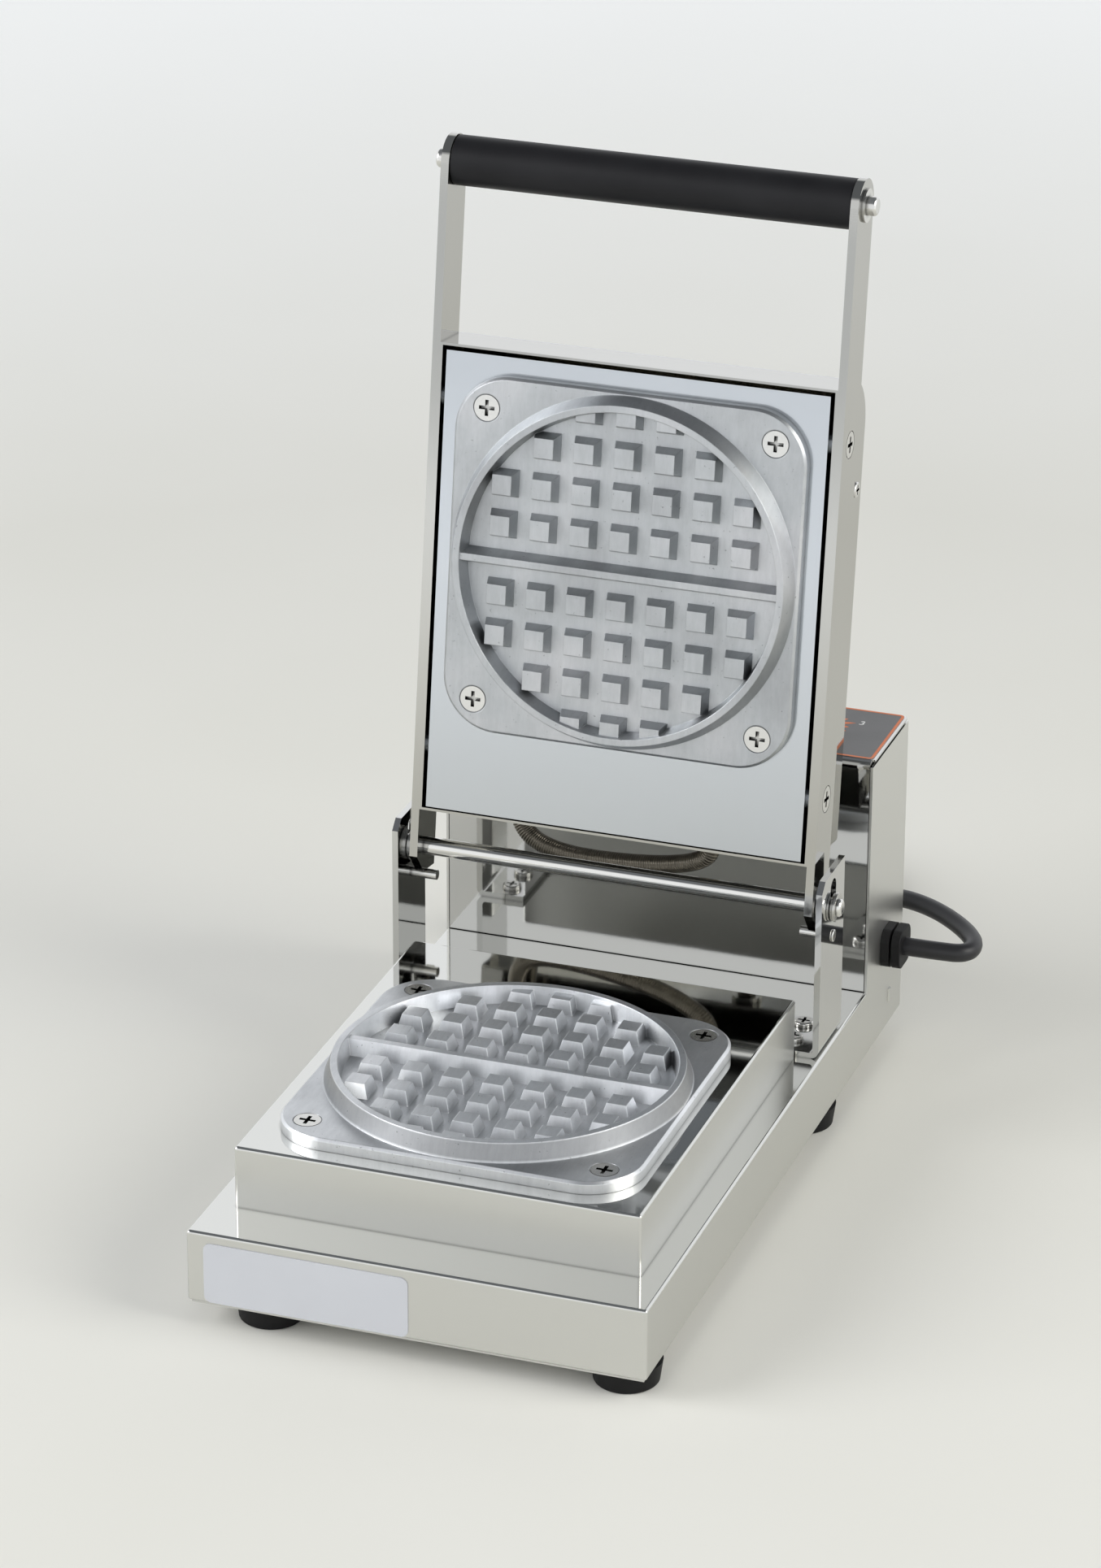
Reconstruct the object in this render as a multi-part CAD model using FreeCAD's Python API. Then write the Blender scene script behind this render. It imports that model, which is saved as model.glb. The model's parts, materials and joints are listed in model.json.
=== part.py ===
import FreeCAD, Part
import math
import os

V = FreeCAD.Vector
os.makedirs("parts", exist_ok=True)

# Driving dimensions in millimetres; X to the right, Y to the back, Z up, floor at zero

# Base and control box
base_width = 220.0
base_depth = 400.0
deck_height = 48.0
box_depth = 61.5
box_height = 123.5
sheet = 1.2
bend_radius = 1.5
cover_bend_radius = 4.0
cover_corner_radius = 3.0
cover_edge_round = 0.9
cover_flange = 12.0
side_seam = 1.5
seam = 0.4
flange_width = 10.0
rear_setback = 1.5
bottom_setback = 1.6
rear_screw_inset = 13.8
rear_screw_length = 6.0
vent_half_length = 22.0
vent_radius = 2.0
vent_middle_gap = 13.0
vent_rows = 6
bottom_vent_pitch = 14.0
bottom_vent_inset = 80.0
rear_vent_pitch = 10.0
rear_vent_rise = 22.0
wire_hole_radius = 6.0
wire_hole_x = 50.0
wire_hole_inset = 12.3
wire_slot_radius = 8.0
wire_slot_half_length = 20.0
lance_radius = 1.6
lance_rise = 1.2
lance_half_height = 3.5
lance_inset = 21.5
lance_drop = 19.0

# Feet
foot_height = 11.0
foot_top_radius = 16.5
foot_bottom_radius = 15.0
foot_edge_radius = 1.5
foot_recess_radius = 6.5
foot_recess_depth = 5.0
foot_right_inset = 16.0
foot_left_inset = 33.0
foot_front_inset = 20.5
foot_back_inset = 114.0

# Lower case and lid shell
case_side_inset = 12.5
case_front_inset = 28.0
case_height = 30.9
case_bolt_inset = 22.0
case_to_hinge = 19.7
lid_side_inset = 11.7
lid_front_overhang = 2.1
lid_back_setback = 2.0
lid_depth = 50.7
lid_bend_radius = 26.0
face_gap = 3.3
face_back_gap = 2.0
face_flange_height = 22.0
face_pad_radius = 7.0

# Waffle plates
plate_side_margin = 10.25
plate_front_margin = 9.75
plate_corner_radius = 27.0
plate_thickness = 6.0
plate_chamfer = 1.25
rim_height = 8.7
rim_edge_margin = 1.55
rim_slope = 3.4
rim_width = 3.3
mould_slope = 1.8
mould_depth = 9.0
closed_gap = 0.3
peg_pitch = 20.0
peg_base = 13.4
peg_top = 9.6
peg_height = 7.0
peg_first_row = 16.8
peg_overreach = 1.5
divider_base = 8.0
divider_top = 3.4
divider_drop = 1.0
plate_screw_inset = 15.75
plate_screw_radius = 3.0
plate_opening_inset = 15.7

# Heaters behind the plates
heater_ring_inset = 15.0
heater_radius = 4.0
heater_gap = 0.2
heater_angle = 320.0
heater_leg = 14.0
heater_pin_radius = 1.5
heater_pin = 8.0
clamp_inset = 4.0
clamp_thickness = 3.0
clamp_boss_radius = 9.0
clamp_notch_half = 26.0
clamp_bolt_head = 4.0
clamp_bolt_reach = 1.5
cutout_radius = 8.0
cutout_height = 9.0
cutout_offset = 30.0
cutout_tab_half_length = 12.0
cutout_tab_half_width = 5.0
cutout_tab_thickness = 1.5
pad_height = 14.0
pad_side_margin = 16.3
pad_end_margin = 20.0
pad_gap = 2.0

# Arms, handle and hinge
arm_thickness = 4.0
arm_width = 25.0
arm_tail = 12.7
arm_tail_chamfer = 10.0
handle_distance = 338.6
grip_radius = 12.0
grip_edge_radius = 0.8
handle_bolt_radius = 4.0
handle_head_radius = 4.6
handle_head_height = 4.6
handle_head_round = 1.5
handle_washer_radius = 8.0
handle_bolt_depth = 22.0
arm_front_screw_inset = 27.8
arm_back_screw_inset = 30.9
lid_side_screw_inset = 55.1
lid_side_screw_drop = 12.3
hinge_to_box = 59.5
open_angle = 98.1
rod_radius = 4.5
rod_overhang = 4.0
rod_end_round = 2.0
rod_lift = 10.0
running_gap = 0.08
side_gap = 0.3
washer_thickness = 1.2
spacer_washer_radius = 8.0
rod_washer_radius = 6.8
clip_radius = 7.2
clip_thickness = 1.0
clip_gap = 0.1
clip_mouth_half = 3.0
clip_groove_depth = 0.9
bracket_inset = 1.0
bracket_thickness = 3.0
bracket_half_depth = 18.5
bracket_height = 92.0
bracket_chamfer = 5.0
bracket_foot = 22.0
bracket_bend_radius = 4.5
bracket_screw_inset = 13.0
bracket_front_screw = 7.0
bracket_back_screw = 10.0
stop_pin_radius = 2.5
stop_pin_length = 13.0
stop_pin_back = 3.4
stop_head_radius = 3.0
stop_head_height = 0.8
stop_head_round = 0.5
stop_gap = 0.2

# Screws and nuts
small_screw_radius = 2.0
screw_radius = 2.5
screw_length = 13.0
plate_screw_length = 16.5
screw_gap = 0.05
seat_ring_width = 0.45
seat_ring_depth = 0.5

# Controls on the top of the box
overlay_thickness = 0.3
overlay_side_margin = 1.3
overlay_front_margin = 3.5
overlay_back_margin = 1.3
overlay_corner_radius = 2.5
control_setback = 26.7
knob_inset = 47.3
knob_radius = 13.0
knob_height = 13.0
knob_edge_radius = 1.5
pointer_half_width = 1.6
pointer_height = 1.2
shaft_radius = 3.0
shaft_depth = 12.0
shaft_hole_gap = 2.0
control_body_half = 18.0
control_body_height = 32.0
lamp_x = 28.0
lamp_radius = 5.0
lamp_flange_radius = 7.0
lamp_flange = 1.2
lamp_dome = 3.0
lamp_body = 18.0
rocker_half_width = 6.2
rocker_half_length = 9.6
rocker_rise = 2.4
rocker_dip = 1.4
rocker_skirt = 2.5
rocker_tilt = 8.0
rocker_pivot_radius = 1.5
rocker_pivot_drop = 2.0
rocker_pivot_length = 1.5
bezel_margin = 3.9
bezel_thickness = 2.0
bezel_edge_radius = 0.8
switch_margin = 2.1
switch_body_height = 24.0
pocket_depth = 9.0
pocket_gap = 0.9
terminal_length = 50.0
terminal_width = 20.0
terminal_height = 14.0
terminal_x = -35.0
terminal_inset = 20.5
terminal_pitch = 11.3
terminal_ways = 4
terminal_row_gap = 5.0
terminal_hole_radius = 2.6
terminal_hole_depth = 10.0

# Plate on the front apron
badge_width = 98.8
badge_side_inset = 8.5
badge_bottom_inset = 1.0
badge_top_inset = 4.8
badge_thickness = 0.5
badge_corner_radius = 3.5

# Conduit between control box and lid
conduit_radius = 4.6
conduit_root_radius = 4.1
conduit_bore_radius = 3.0
conduit_rib_pitch = 1.3
conduit_lid_inset = 70.5
conduit_lid_drop = 10.3
conduit_box_inset = 40.0
conduit_box_drop = 23.5
conduit_end_run = 9.3
conduit_low_drop = 13.3
gland_radius = 7.5
gland_length = 3.0
gland_thread = 4.0
gland_thread_radius = 5.25
elbow_radius = 6.8
elbow_reach = 7.5
elbow_branch_radius = 5.6
elbow_edge_radius = 2.0

# Power cord
cord_radius = 4.6
cord_bend_share = 0.45
bushing_setback = 29.4
bushing_rise = 12.6
bushing_size = 20.0
bushing_step = 4.4
bushing_length = 10.0
bushing_neck_radius = 7.0
bushing_neck_depth = 6.0
bushing_edge_radius = 0.6
coil_x = -6.0
coil_setback = 119.25
coil_mid_radius = 51.0
coil_turns = 5
coil_gap = 0.6
gap_sample_step = 1.0
tie_thickness = 1.5
tie_width = 8.0
tie_gap = 0.5
tie_floor_gap = 0.1
tie_bend_radius = 1.5
tie_angle = -20.0
plug_length = 34.0
plug_width = 25.0
plug_height = 27.0
plug_edge_radius = 4.0
relief_length = 14.0
relief_wall = 1.0
relief_flare = 3.0
blade_root = 8.0
blade_length = 17.0
blade_half_gap = 6.35
blade_half_thickness = 0.75
blade_half_width = 3.15
blade_rise = 4.0
earth_drop = 8.0
earth_radius = 2.4
earth_overlength = 3.0

# Positions and sizes that follow from the driving dimensions
half_width = base_width / 2
inner_half_width = half_width - sheet
front_y = -base_depth / 2
rear_y = base_depth / 2
box_front_y = rear_y - box_depth
box_top_z = deck_height + box_height
cover_under_z = box_top_z - sheet
wall_top_z = cover_under_z - side_seam
cover_half_width = inner_half_width - seam
overlay_half_width = half_width - overlay_side_margin
overlay_top_z = box_top_z + overlay_thickness
deck_under_z = deck_height - sheet
apron_bottom_z = foot_height + sheet
rear_cover_y = rear_y - rear_setback
rear_flange_y = rear_cover_y - sheet
hinge_y = box_front_y - hinge_to_box
case_half_width = half_width - case_side_inset
case_front_y = front_y + case_front_inset
case_back_y = hinge_y - case_to_hinge
case_top_z = deck_height + case_height
lid_half_width = half_width - lid_side_inset
lid_front_y = case_front_y - lid_front_overhang
lid_back_y = case_back_y - lid_back_setback
plate_half_width = case_half_width - plate_side_margin
mould_y = case_front_y + plate_front_margin + plate_half_width
rim_base_radius = plate_half_width - rim_edge_margin
rim_top_radius = rim_base_radius - rim_slope
rim_inner_radius = rim_top_radius - rim_width
mould_floor_radius = rim_inner_radius - mould_slope
peg_reach = rim_inner_radius + peg_overreach
plate_screw_offset = plate_half_width - plate_screw_inset
plate_opening_radius = rim_base_radius - plate_opening_inset
heater_ring_radius = plate_opening_radius - heater_ring_inset
clamp_radius = plate_opening_radius - clamp_inset
lower_face_z = case_top_z + plate_thickness
upper_face_z = lower_face_z + 2 * rim_height + closed_gap
lid_face_z = upper_face_z + plate_thickness
lid_top_z = lid_face_z + lid_depth
hinge_z = lid_face_z + arm_width / 2
handle_y = hinge_y - handle_distance
arm_outer_x = lid_half_width + arm_thickness
arm_screw_ys = (lid_front_y + arm_front_screw_inset, lid_back_y - arm_back_screw_inset)
lid_side_screw_y = lid_front_y + lid_side_screw_inset
lid_side_screw_z = lid_top_z - lid_side_screw_drop
rod_half_length = half_width + rod_overhang
bracket_outer_x = half_width - bracket_inset
bracket_inner_x = bracket_outer_x - bracket_thickness
bracket_foot_x = bracket_inner_x - bracket_foot
bracket_screw_x = bracket_inner_x - bracket_screw_inset
rim_top = plate_thickness + rim_height
mould_floor = rim_top - mould_depth
heater_depth = 2 * (heater_radius + heater_gap)
control_y = rear_y - control_setback
knob_x = half_width - knob_inset
conduit_lid_x = half_width - conduit_lid_inset
conduit_lid_z = lid_top_z - conduit_lid_drop
conduit_box_x = conduit_box_inset - half_width
conduit_box_y = box_front_y - elbow_reach
conduit_box_z = box_top_z - conduit_box_drop
conduit_low_z = hinge_z - conduit_low_drop
cord_diameter = 2 * cord_radius
cord_exit_x = half_width + bushing_length
bushing_y = rear_y - bushing_setback
bushing_z = deck_height + bushing_rise
coil_y = rear_y + coil_setback
upward = V(0, 0, 1)
downward = V(0, 0, -1)


# Small helpers for plain solids
def block(x0, x1, y0, y1, z0, z1):
    """Rectangular block between two opposite corners."""
    return Part.makeBox(x1 - x0, y1 - y0, z1 - z0, V(x0, y0, z0))


def bar_x(x0, x1, y, z, radius):
    """Round bar along X."""
    return Part.makeCylinder(radius, x1 - x0, V(x0, y, z), V(1, 0, 0))


def bar_y(x, y0, y1, z, radius):
    """Round bar along Y."""
    return Part.makeCylinder(radius, y1 - y0, V(x, y0, z), V(0, 1, 0))


def bar_z(x, y, z0, z1, radius):
    """Round bar along Z."""
    return Part.makeCylinder(radius, z1 - z0, V(x, y, z0))


def prism_x(profile, x0, x1):
    """Solid with the given (y, z) outline between two X positions."""
    corners = [V(x0, y, z) for y, z in profile]
    outline = Part.makePolygon(corners + corners[:1])
    return Part.Face(outline).extrude(V(x1 - x0, 0, 0))


def slot_y(x, z, half_length, radius, y0, y1):
    """Slot cutter with round ends, long in X, running through a wall along Y."""
    middle = block(x - half_length, x + half_length, y0, y1, z - radius, z + radius)
    ends = [bar_y(x + side * half_length, y0, y1, z, radius) for side in (-1, 1)]
    return middle.multiFuse(ends)


def slot_z(x, y, half_length, radius, z0, z1):
    """Slot cutter with round ends, long in X, running through a plate along Z."""
    middle = block(x - half_length, x + half_length, y - radius, y + radius, z0, z1)
    ends = [bar_z(x + side * half_length, y, z0, z1, radius) for side in (-1, 1)]
    return middle.multiFuse(ends)


def near(value, target):
    """True when a coordinate sits on the given position."""
    return abs(value - target) < 0.01


def rounded(shape, radius, chosen):
    """Round the edges whose middle point passes the given test."""
    edges = [edge for edge in shape.Edges if chosen(edge.CenterOfMass)]
    return shape.makeFillet(radius, edges)


def mirrored(shape):
    """Mirror image across the middle plane X = 0."""
    return shape.mirror(V(0, 0, 0), V(1, 0, 0))


def placed(shape, position, direction):
    """Copy of a shape whose own Z axis points along direction from position."""
    copy = shape.copy()
    move = FreeCAD.Placement(position, FreeCAD.Rotation(V(0, 0, 1), direction))
    copy.Placement = move.multiply(copy.Placement)
    return copy


def opened(shape):
    """Turn a lid piece from the closed position to the open rest position."""
    copy = shape.copy()
    copy.rotate(V(0, hinge_y, hinge_z), V(1, 0, 0), -open_angle)
    return copy


def save(name, *solids):
    """Write one piece, or a group of separate identical pieces, as a file."""
    shape = solids[0] if len(solids) == 1 else Part.makeCompound(list(solids))
    if not shape.isValid():
        print("not valid:", name)
    shape.exportStep("parts/" + name + ".step")
    print("%-24s solids %d  volume %.0f" % (name, len(shape.Solids), shape.Volume))


def save_lid(name, *solids):
    """Write a lid piece in the open rest position."""
    save(name, *[opened(solid) for solid in solids])


# Screws and nuts, seat at zero and shank pointing down
def cross_recess(head_radius, top, depth):
    """Cutter for a cross recess in a screw head."""
    reach = 0.62 * head_radius
    half = 0.14 * head_radius
    first = block(-reach, reach, -half, half, top - depth, top + depth)
    second = block(-half, half, -reach, reach, top - depth, top + depth)
    return first.fuse(second)


def pan_screw(radius, length):
    """Pan-head cross screw: head above zero, shank below."""
    head_radius = 1.9 * radius
    head = Part.makeCylinder(head_radius, radius)
    head = rounded(head, 0.45 * radius, lambda c: near(c.z, radius))
    shank = bar_z(0, 0, -length, 0, radius)
    return head.fuse(shank).cut(cross_recess(head_radius, radius, 0.6 * radius))


def countersunk_screw(radius, length):
    """Countersunk cross screw, its flat top at zero."""
    head_radius = 2.1 * radius
    head = Part.makeCone(radius, head_radius, head_radius - radius, V(0, 0, radius - head_radius))
    shank = bar_z(0, 0, -length, radius - head_radius, radius)
    return head.fuse(shank).cut(cross_recess(head_radius, 0, 0.6 * radius))


def countersunk_hole(radius, depth):
    """Cutter that seats a countersunk screw, with a narrow ring left open round the head."""
    head_radius = 2.1 * radius
    drop = head_radius - radius
    cone = Part.makeCone(radius + screw_gap, head_radius + screw_gap, drop, V(0, 0, -drop))
    ring = bar_z(0, 0, -seat_ring_depth, 0, head_radius + seat_ring_width)
    return cone.multiFuse([ring, bar_z(0, 0, -depth, -drop, radius + screw_gap)])


def hex_prism(across_flats, height):
    """Hexagonal prism standing on zero."""
    corner = across_flats / math.sqrt(3)
    corners = []
    for k in range(6):
        angle = math.radians(60 * k)
        corners.append(V(corner * math.cos(angle), corner * math.sin(angle), 0))
    return Part.Face(Part.makePolygon(corners + corners[:1])).extrude(V(0, 0, height))


def hex_nut(radius):
    """Hexagon nut standing on zero."""
    height = 1.6 * radius
    return hex_prism(3.4 * radius, height).cut(bar_z(0, 0, -1, height + 1, radius + screw_gap))


# Chassis: deck, front apron and the two tall L-shaped sides from folded sheet
side_profile = [
    (front_y, apron_bottom_z),
    (front_y, deck_height),
    (box_front_y, deck_height),
    (box_front_y, wall_top_z),
    (rear_y, wall_top_z),
    (rear_y, apron_bottom_z),
]


def chassis_fold(c):
    """Middle points of the outer folds of the chassis."""
    on_side = near(abs(c.x), half_width)
    on_front = near(c.y, front_y)
    on_deck = near(c.z, deck_height)
    on_bottom = near(c.z, apron_bottom_z)
    return (on_side and on_front) or ((on_side or on_front) and (on_deck or on_bottom))


foot_points = []
for foot_x in (foot_left_inset - half_width, half_width - foot_right_inset):
    for foot_y in (front_y + foot_front_inset, rear_y - foot_back_inset):
        foot_points.append((foot_x, foot_y))

bracket_screw_points = []
for side in (-1, 1):
    for screw_y in (hinge_y - bracket_front_screw, hinge_y + bracket_back_screw):
        bracket_screw_points.append((side * bracket_screw_x, screw_y))

case_bolt_x = case_half_width - sheet - 0.5 * flange_width
case_bolt_points = []
for side in (-1, 1):
    for case_y in (case_front_y + case_bolt_inset, case_back_y - case_bolt_inset):
        case_bolt_points.append((side * case_bolt_x, case_y))

flange_inner_x = inner_half_width - flange_width
rear_screw_x = inner_half_width - 0.5 * flange_width
rear_screw_low_z = apron_bottom_z + rear_screw_inset
rear_screw_high_z = cover_under_z - cover_flange - rear_screw_inset
rear_screw_points = []
for side in (-1, 1):
    for rear_z in (rear_screw_low_z, 0.5 * (rear_screw_low_z + rear_screw_high_z), rear_screw_high_z):
        rear_screw_points.append((side * rear_screw_x, rear_z))
    rear_screw_points.append((side * knob_x, cover_under_z - 0.5 * cover_flange))

chassis = rounded(prism_x(side_profile, -half_width, half_width), bend_radius, chassis_fold)
chassis = chassis.cut(block(-inner_half_width, inner_half_width, front_y + sheet, rear_y + 1,
                            apron_bottom_z - 1, deck_under_z))
chassis = chassis.cut(block(-inner_half_width, inner_half_width, box_front_y - 1, rear_y + 1,
                            deck_height, box_top_z + 1))
chassis = chassis.cut(block(-inner_half_width, inner_half_width, rear_flange_y, rear_y + 1,
                            apron_bottom_z - 1, box_top_z + 1))
bottom_flange_x = half_width - flange_width
chassis_flanges = [
    block(-inner_half_width, inner_half_width, front_y + sheet, front_y + flange_width,
          apron_bottom_z, apron_bottom_z + sheet),
]
for side in (-1, 1):
    x0, x1 = sorted((side * bottom_flange_x, side * inner_half_width))
    chassis_flanges.append(block(x0, x1, front_y + sheet, rear_flange_y,
                                 apron_bottom_z, apron_bottom_z + sheet))
    x0, x1 = sorted((side * flange_inner_x, side * inner_half_width))
    chassis_flanges.append(block(x0, x1, rear_flange_y - sheet, rear_flange_y,
                                 apron_bottom_z, cover_under_z - cover_flange))
    chassis_flanges.append(block(x0, x1, box_front_y + sheet, box_front_y + 2 * sheet,
                                 deck_height, cover_under_z - cover_bend_radius))
chassis = chassis.multiFuse(chassis_flanges).removeSplitter()
chassis_holes = [
    bar_z(wire_hole_x, case_back_y - wire_hole_inset, deck_under_z - 1, deck_height + 1, wire_hole_radius),
    slot_z(0, control_y, wire_slot_half_length, wire_slot_radius, deck_under_z - 1, deck_height + 1),
    bar_x(inner_half_width - 1, half_width + 1, bushing_y, bushing_z, bushing_neck_radius),
]
for x, y in bracket_screw_points + case_bolt_points:
    chassis_holes.append(bar_z(x, y, deck_under_z - 1, deck_height + 1, screw_radius + screw_gap))
for x, z in rear_screw_points:
    if near(abs(x), rear_screw_x):
        chassis_holes.append(bar_y(x, rear_flange_y - sheet - 1, rear_y + 1, z,
                                   small_screw_radius + screw_gap))
chassis = chassis.cut(Part.makeCompound(chassis_holes))
lance_y = rear_y - lance_inset
lance_z = deck_height - lance_drop
lance = bar_z(half_width + lance_rise - lance_radius, lance_y, lance_z - lance_half_height,
              lance_z + lance_half_height, lance_radius)
lance = lance.cut(block(0, inner_half_width, lance_y - 2 * lance_radius, lance_y + 2 * lance_radius,
                        0, deck_height))
chassis = chassis.fuse(lance)
save("chassis", chassis)

# Bottom plate, feet and their screws
bottom_plate = block(-half_width + bottom_setback, half_width - bottom_setback,
                     front_y + bottom_setback, rear_flange_y, foot_height, foot_height + sheet)
vent_x = vent_half_length + vent_middle_gap
bottom_cutters = []
for x, y in foot_points:
    bottom_cutters.append(bar_z(x, y, 0, foot_height + 2 * sheet, screw_radius + screw_gap))
for column in (-1, 1):
    for row in range(vent_rows):
        vent_y = front_y + bottom_vent_inset + row * bottom_vent_pitch
        bottom_cutters.append(slot_z(column * vent_x, vent_y, vent_half_length, vent_radius,
                                     foot_height - 1, foot_height + 2 * sheet))
save("bottom_plate", bottom_plate.cut(Part.makeCompound(bottom_cutters)))

foot_cone = Part.makeCone(foot_bottom_radius, foot_top_radius, foot_height)
foot_cone = rounded(foot_cone, foot_edge_radius, lambda c: near(c.z, 0))
foot_cone = foot_cone.cut(bar_z(0, 0, -1, foot_recess_depth, foot_recess_radius))
foot_cone = foot_cone.cut(bar_z(0, 0, 0, foot_height + 1, screw_radius + screw_gap))
save("rubber_feet", *[placed(foot_cone, V(x, y, 0), upward) for x, y in foot_points])

# Cover over the control box: front and top in one folded sheet; the top reaches over the side walls
cover_outer = block(-cover_half_width, cover_half_width, box_front_y, rear_flange_y,
                    deck_height + seam, box_top_z)
cover_outer = rounded(cover_outer, cover_bend_radius,
                      lambda c: near(c.y, box_front_y) and near(c.z, box_top_z))
cover_inner = block(-cover_half_width - 1, cover_half_width + 1, box_front_y + sheet, rear_y + 1,
                    deck_height, cover_under_z)
cover_inner = rounded(cover_inner, cover_bend_radius - sheet,
                      lambda c: near(c.y, box_front_y + sheet) and near(c.z, cover_under_z))
cover = cover_outer.cut(cover_inner)
bend_end_y = box_front_y + cover_bend_radius
cover_flange_z = cover_under_z - cover_flange
top_sheet = block(-half_width, half_width, bend_end_y, rear_y, cover_under_z, box_top_z)
top_sheet = rounded(top_sheet, cover_corner_radius,
                    lambda c: near(abs(c.x), half_width) and near(c.y, rear_y))
top_sheet = rounded(top_sheet, cover_edge_round,
                    lambda c: near(c.z, box_top_z) and not near(c.y, bend_end_y))
cover_pieces = [
    top_sheet,
    block(-flange_inner_x, flange_inner_x, rear_flange_y - sheet, rear_flange_y,
          cover_flange_z, cover_under_z),
]
for side in (-1, 1):
    x0, x1 = sorted((side * (cover_half_width - sheet), side * cover_half_width))
    cover_pieces.append(block(x0, x1, bend_end_y, rear_flange_y - sheet - seam,
                              cover_flange_z, cover_under_z))
cover = cover.multiFuse(cover_pieces).removeSplitter()
bezel_half_width = rocker_half_width + bezel_margin
bezel_half_length = rocker_half_length + bezel_margin
switch_half_width = rocker_half_width + switch_margin
switch_half_length = rocker_half_length + switch_margin
control_cutters = []
for side in (-1, 1):
    control_cutters.append(bar_z(side * knob_x, control_y, cover_under_z - 1, overlay_top_z + 1,
                                 shaft_radius + shaft_hole_gap))
    control_cutters.append(bar_z(side * lamp_x, control_y, cover_under_z - 1, overlay_top_z + 1,
                                 lamp_radius + screw_gap))
control_cutters.append(block(-switch_half_width, switch_half_width,
                             control_y - switch_half_length, control_y + switch_half_length,
                             cover_under_z - 1, overlay_top_z + 1))
control_cutter = Part.makeCompound(control_cutters)
elbow_z = conduit_box_z + elbow_radius
cover = cover.cut(control_cutter)
cover = cover.cut(bar_y(conduit_box_x, box_front_y - 1, box_front_y + sheet + 1, elbow_z,
                        gland_thread_radius))
for x, z in rear_screw_points:
    cover = cover.cut(bar_y(x, rear_flange_y - sheet - 1, rear_flange_y + 1, z,
                            small_screw_radius + screw_gap))
save("control_cover", cover)

overlay = block(-overlay_half_width, overlay_half_width, box_front_y + overlay_front_margin,
                rear_y - overlay_back_margin, box_top_z, overlay_top_z)
overlay = rounded(overlay, overlay_corner_radius, lambda c: near(c.z, (box_top_z + overlay_top_z) / 2))
save("panel_overlay", overlay.cut(control_cutter))

rear_cover = block(-cover_half_width, cover_half_width, rear_flange_y, rear_cover_y,
                   apron_bottom_z + seam, cover_under_z - seam)
rear_cutters = [bar_y(x, rear_flange_y - 1, rear_cover_y + 1, z, small_screw_radius + screw_gap)
                for x, z in rear_screw_points]
for column in (-1, 1):
    for row in range(vent_rows):
        vent_z = deck_height + rear_vent_rise + row * rear_vent_pitch
        rear_cutters.append(slot_y(column * vent_x, vent_z, vent_half_length, vent_radius,
                                   rear_flange_y - 1, rear_cover_y + 1))
save("rear_cover", rear_cover.cut(Part.makeCompound(rear_cutters)))
rear_screw = pan_screw(small_screw_radius, rear_screw_length)
backward = V(0, 1, 0)
rear_screws = [placed(rear_screw, V(x, rear_cover_y, z), backward) for x, z in rear_screw_points]
save("rear_cover_screws", *rear_screws)

# Bare plate on the front apron
badge_left_x = badge_side_inset - half_width
badge = block(badge_left_x, badge_left_x + badge_width, front_y - badge_thickness, front_y,
              apron_bottom_z + badge_bottom_inset, deck_height - badge_top_inset)
badge = rounded(badge, badge_corner_radius, lambda c: near(c.y, front_y - badge_thickness / 2))
save("front_badge", badge)

# Controls: two knobs on shafts, a rocker switch and two lamps
knob_bottom_z = overlay_top_z + side_gap
knob_top_z = knob_bottom_z + knob_height
knob = bar_z(0, 0, knob_bottom_z, knob_top_z, knob_radius)
knob = rounded(knob, knob_edge_radius, lambda c: near(c.z, knob_top_z))
pointer = block(-pointer_half_width, pointer_half_width, 0, knob_radius - knob_edge_radius,
                knob_top_z, knob_top_z + pointer_height)
knob = knob.multiFuse([pointer, bar_z(0, 0, cover_under_z - shaft_depth, knob_bottom_z, shaft_radius)])
control_body = block(-control_body_half, control_body_half, -control_body_half, control_body_half,
                     cover_under_z - control_body_height, cover_under_z)
control_body = control_body.cut(bar_z(0, 0, cover_under_z - shaft_depth - 1, cover_under_z + 1,
                                      shaft_radius + running_gap))
timer_place = V(knob_x, control_y, 0)
thermostat_place = V(-knob_x, control_y, 0)
save("timer_knob", placed(knob, timer_place, upward))
save("thermostat_knob", placed(knob, thermostat_place, upward))
save("timer_body", placed(control_body, timer_place, upward))
save("thermostat_body", placed(control_body, thermostat_place, upward))

bezel_top_z = overlay_top_z + bezel_thickness
bezel = block(-bezel_half_width, bezel_half_width,
              control_y - bezel_half_length, control_y + bezel_half_length, overlay_top_z, bezel_top_z)
bezel = rounded(bezel, bezel_edge_radius, lambda c: near(c.z, bezel_top_z))
switch_body = block(-switch_half_width, switch_half_width, control_y - switch_half_length,
                    control_y + switch_half_length, cover_under_z - switch_body_height, overlay_top_z)
pocket_half_width = rocker_half_width + side_gap
pocket_half_length = rocker_half_length + pocket_gap
pocket = block(-pocket_half_width, pocket_half_width,
               control_y - pocket_half_length, control_y + pocket_half_length,
               bezel_top_z - pocket_depth, bezel_top_z + 1)
pivot_z = bezel_top_z - rocker_pivot_drop
pivot_half = rocker_half_width + rocker_pivot_length
switch_housing = bezel.fuse(switch_body).cut(pocket)
switch_housing = switch_housing.cut(bar_x(-pivot_half - side_gap, pivot_half + side_gap, control_y, pivot_z,
                                          rocker_pivot_radius + running_gap))
save("switch_housing", switch_housing)
rocker_profile = [
    (control_y - rocker_half_length, pivot_z - rocker_skirt),
    (control_y - rocker_half_length, bezel_top_z + rocker_rise),
    (control_y, bezel_top_z + rocker_dip),
    (control_y + rocker_half_length, bezel_top_z + rocker_rise),
    (control_y + rocker_half_length, pivot_z - rocker_skirt),
]
rocker = prism_x(rocker_profile, -rocker_half_width, rocker_half_width)
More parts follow.
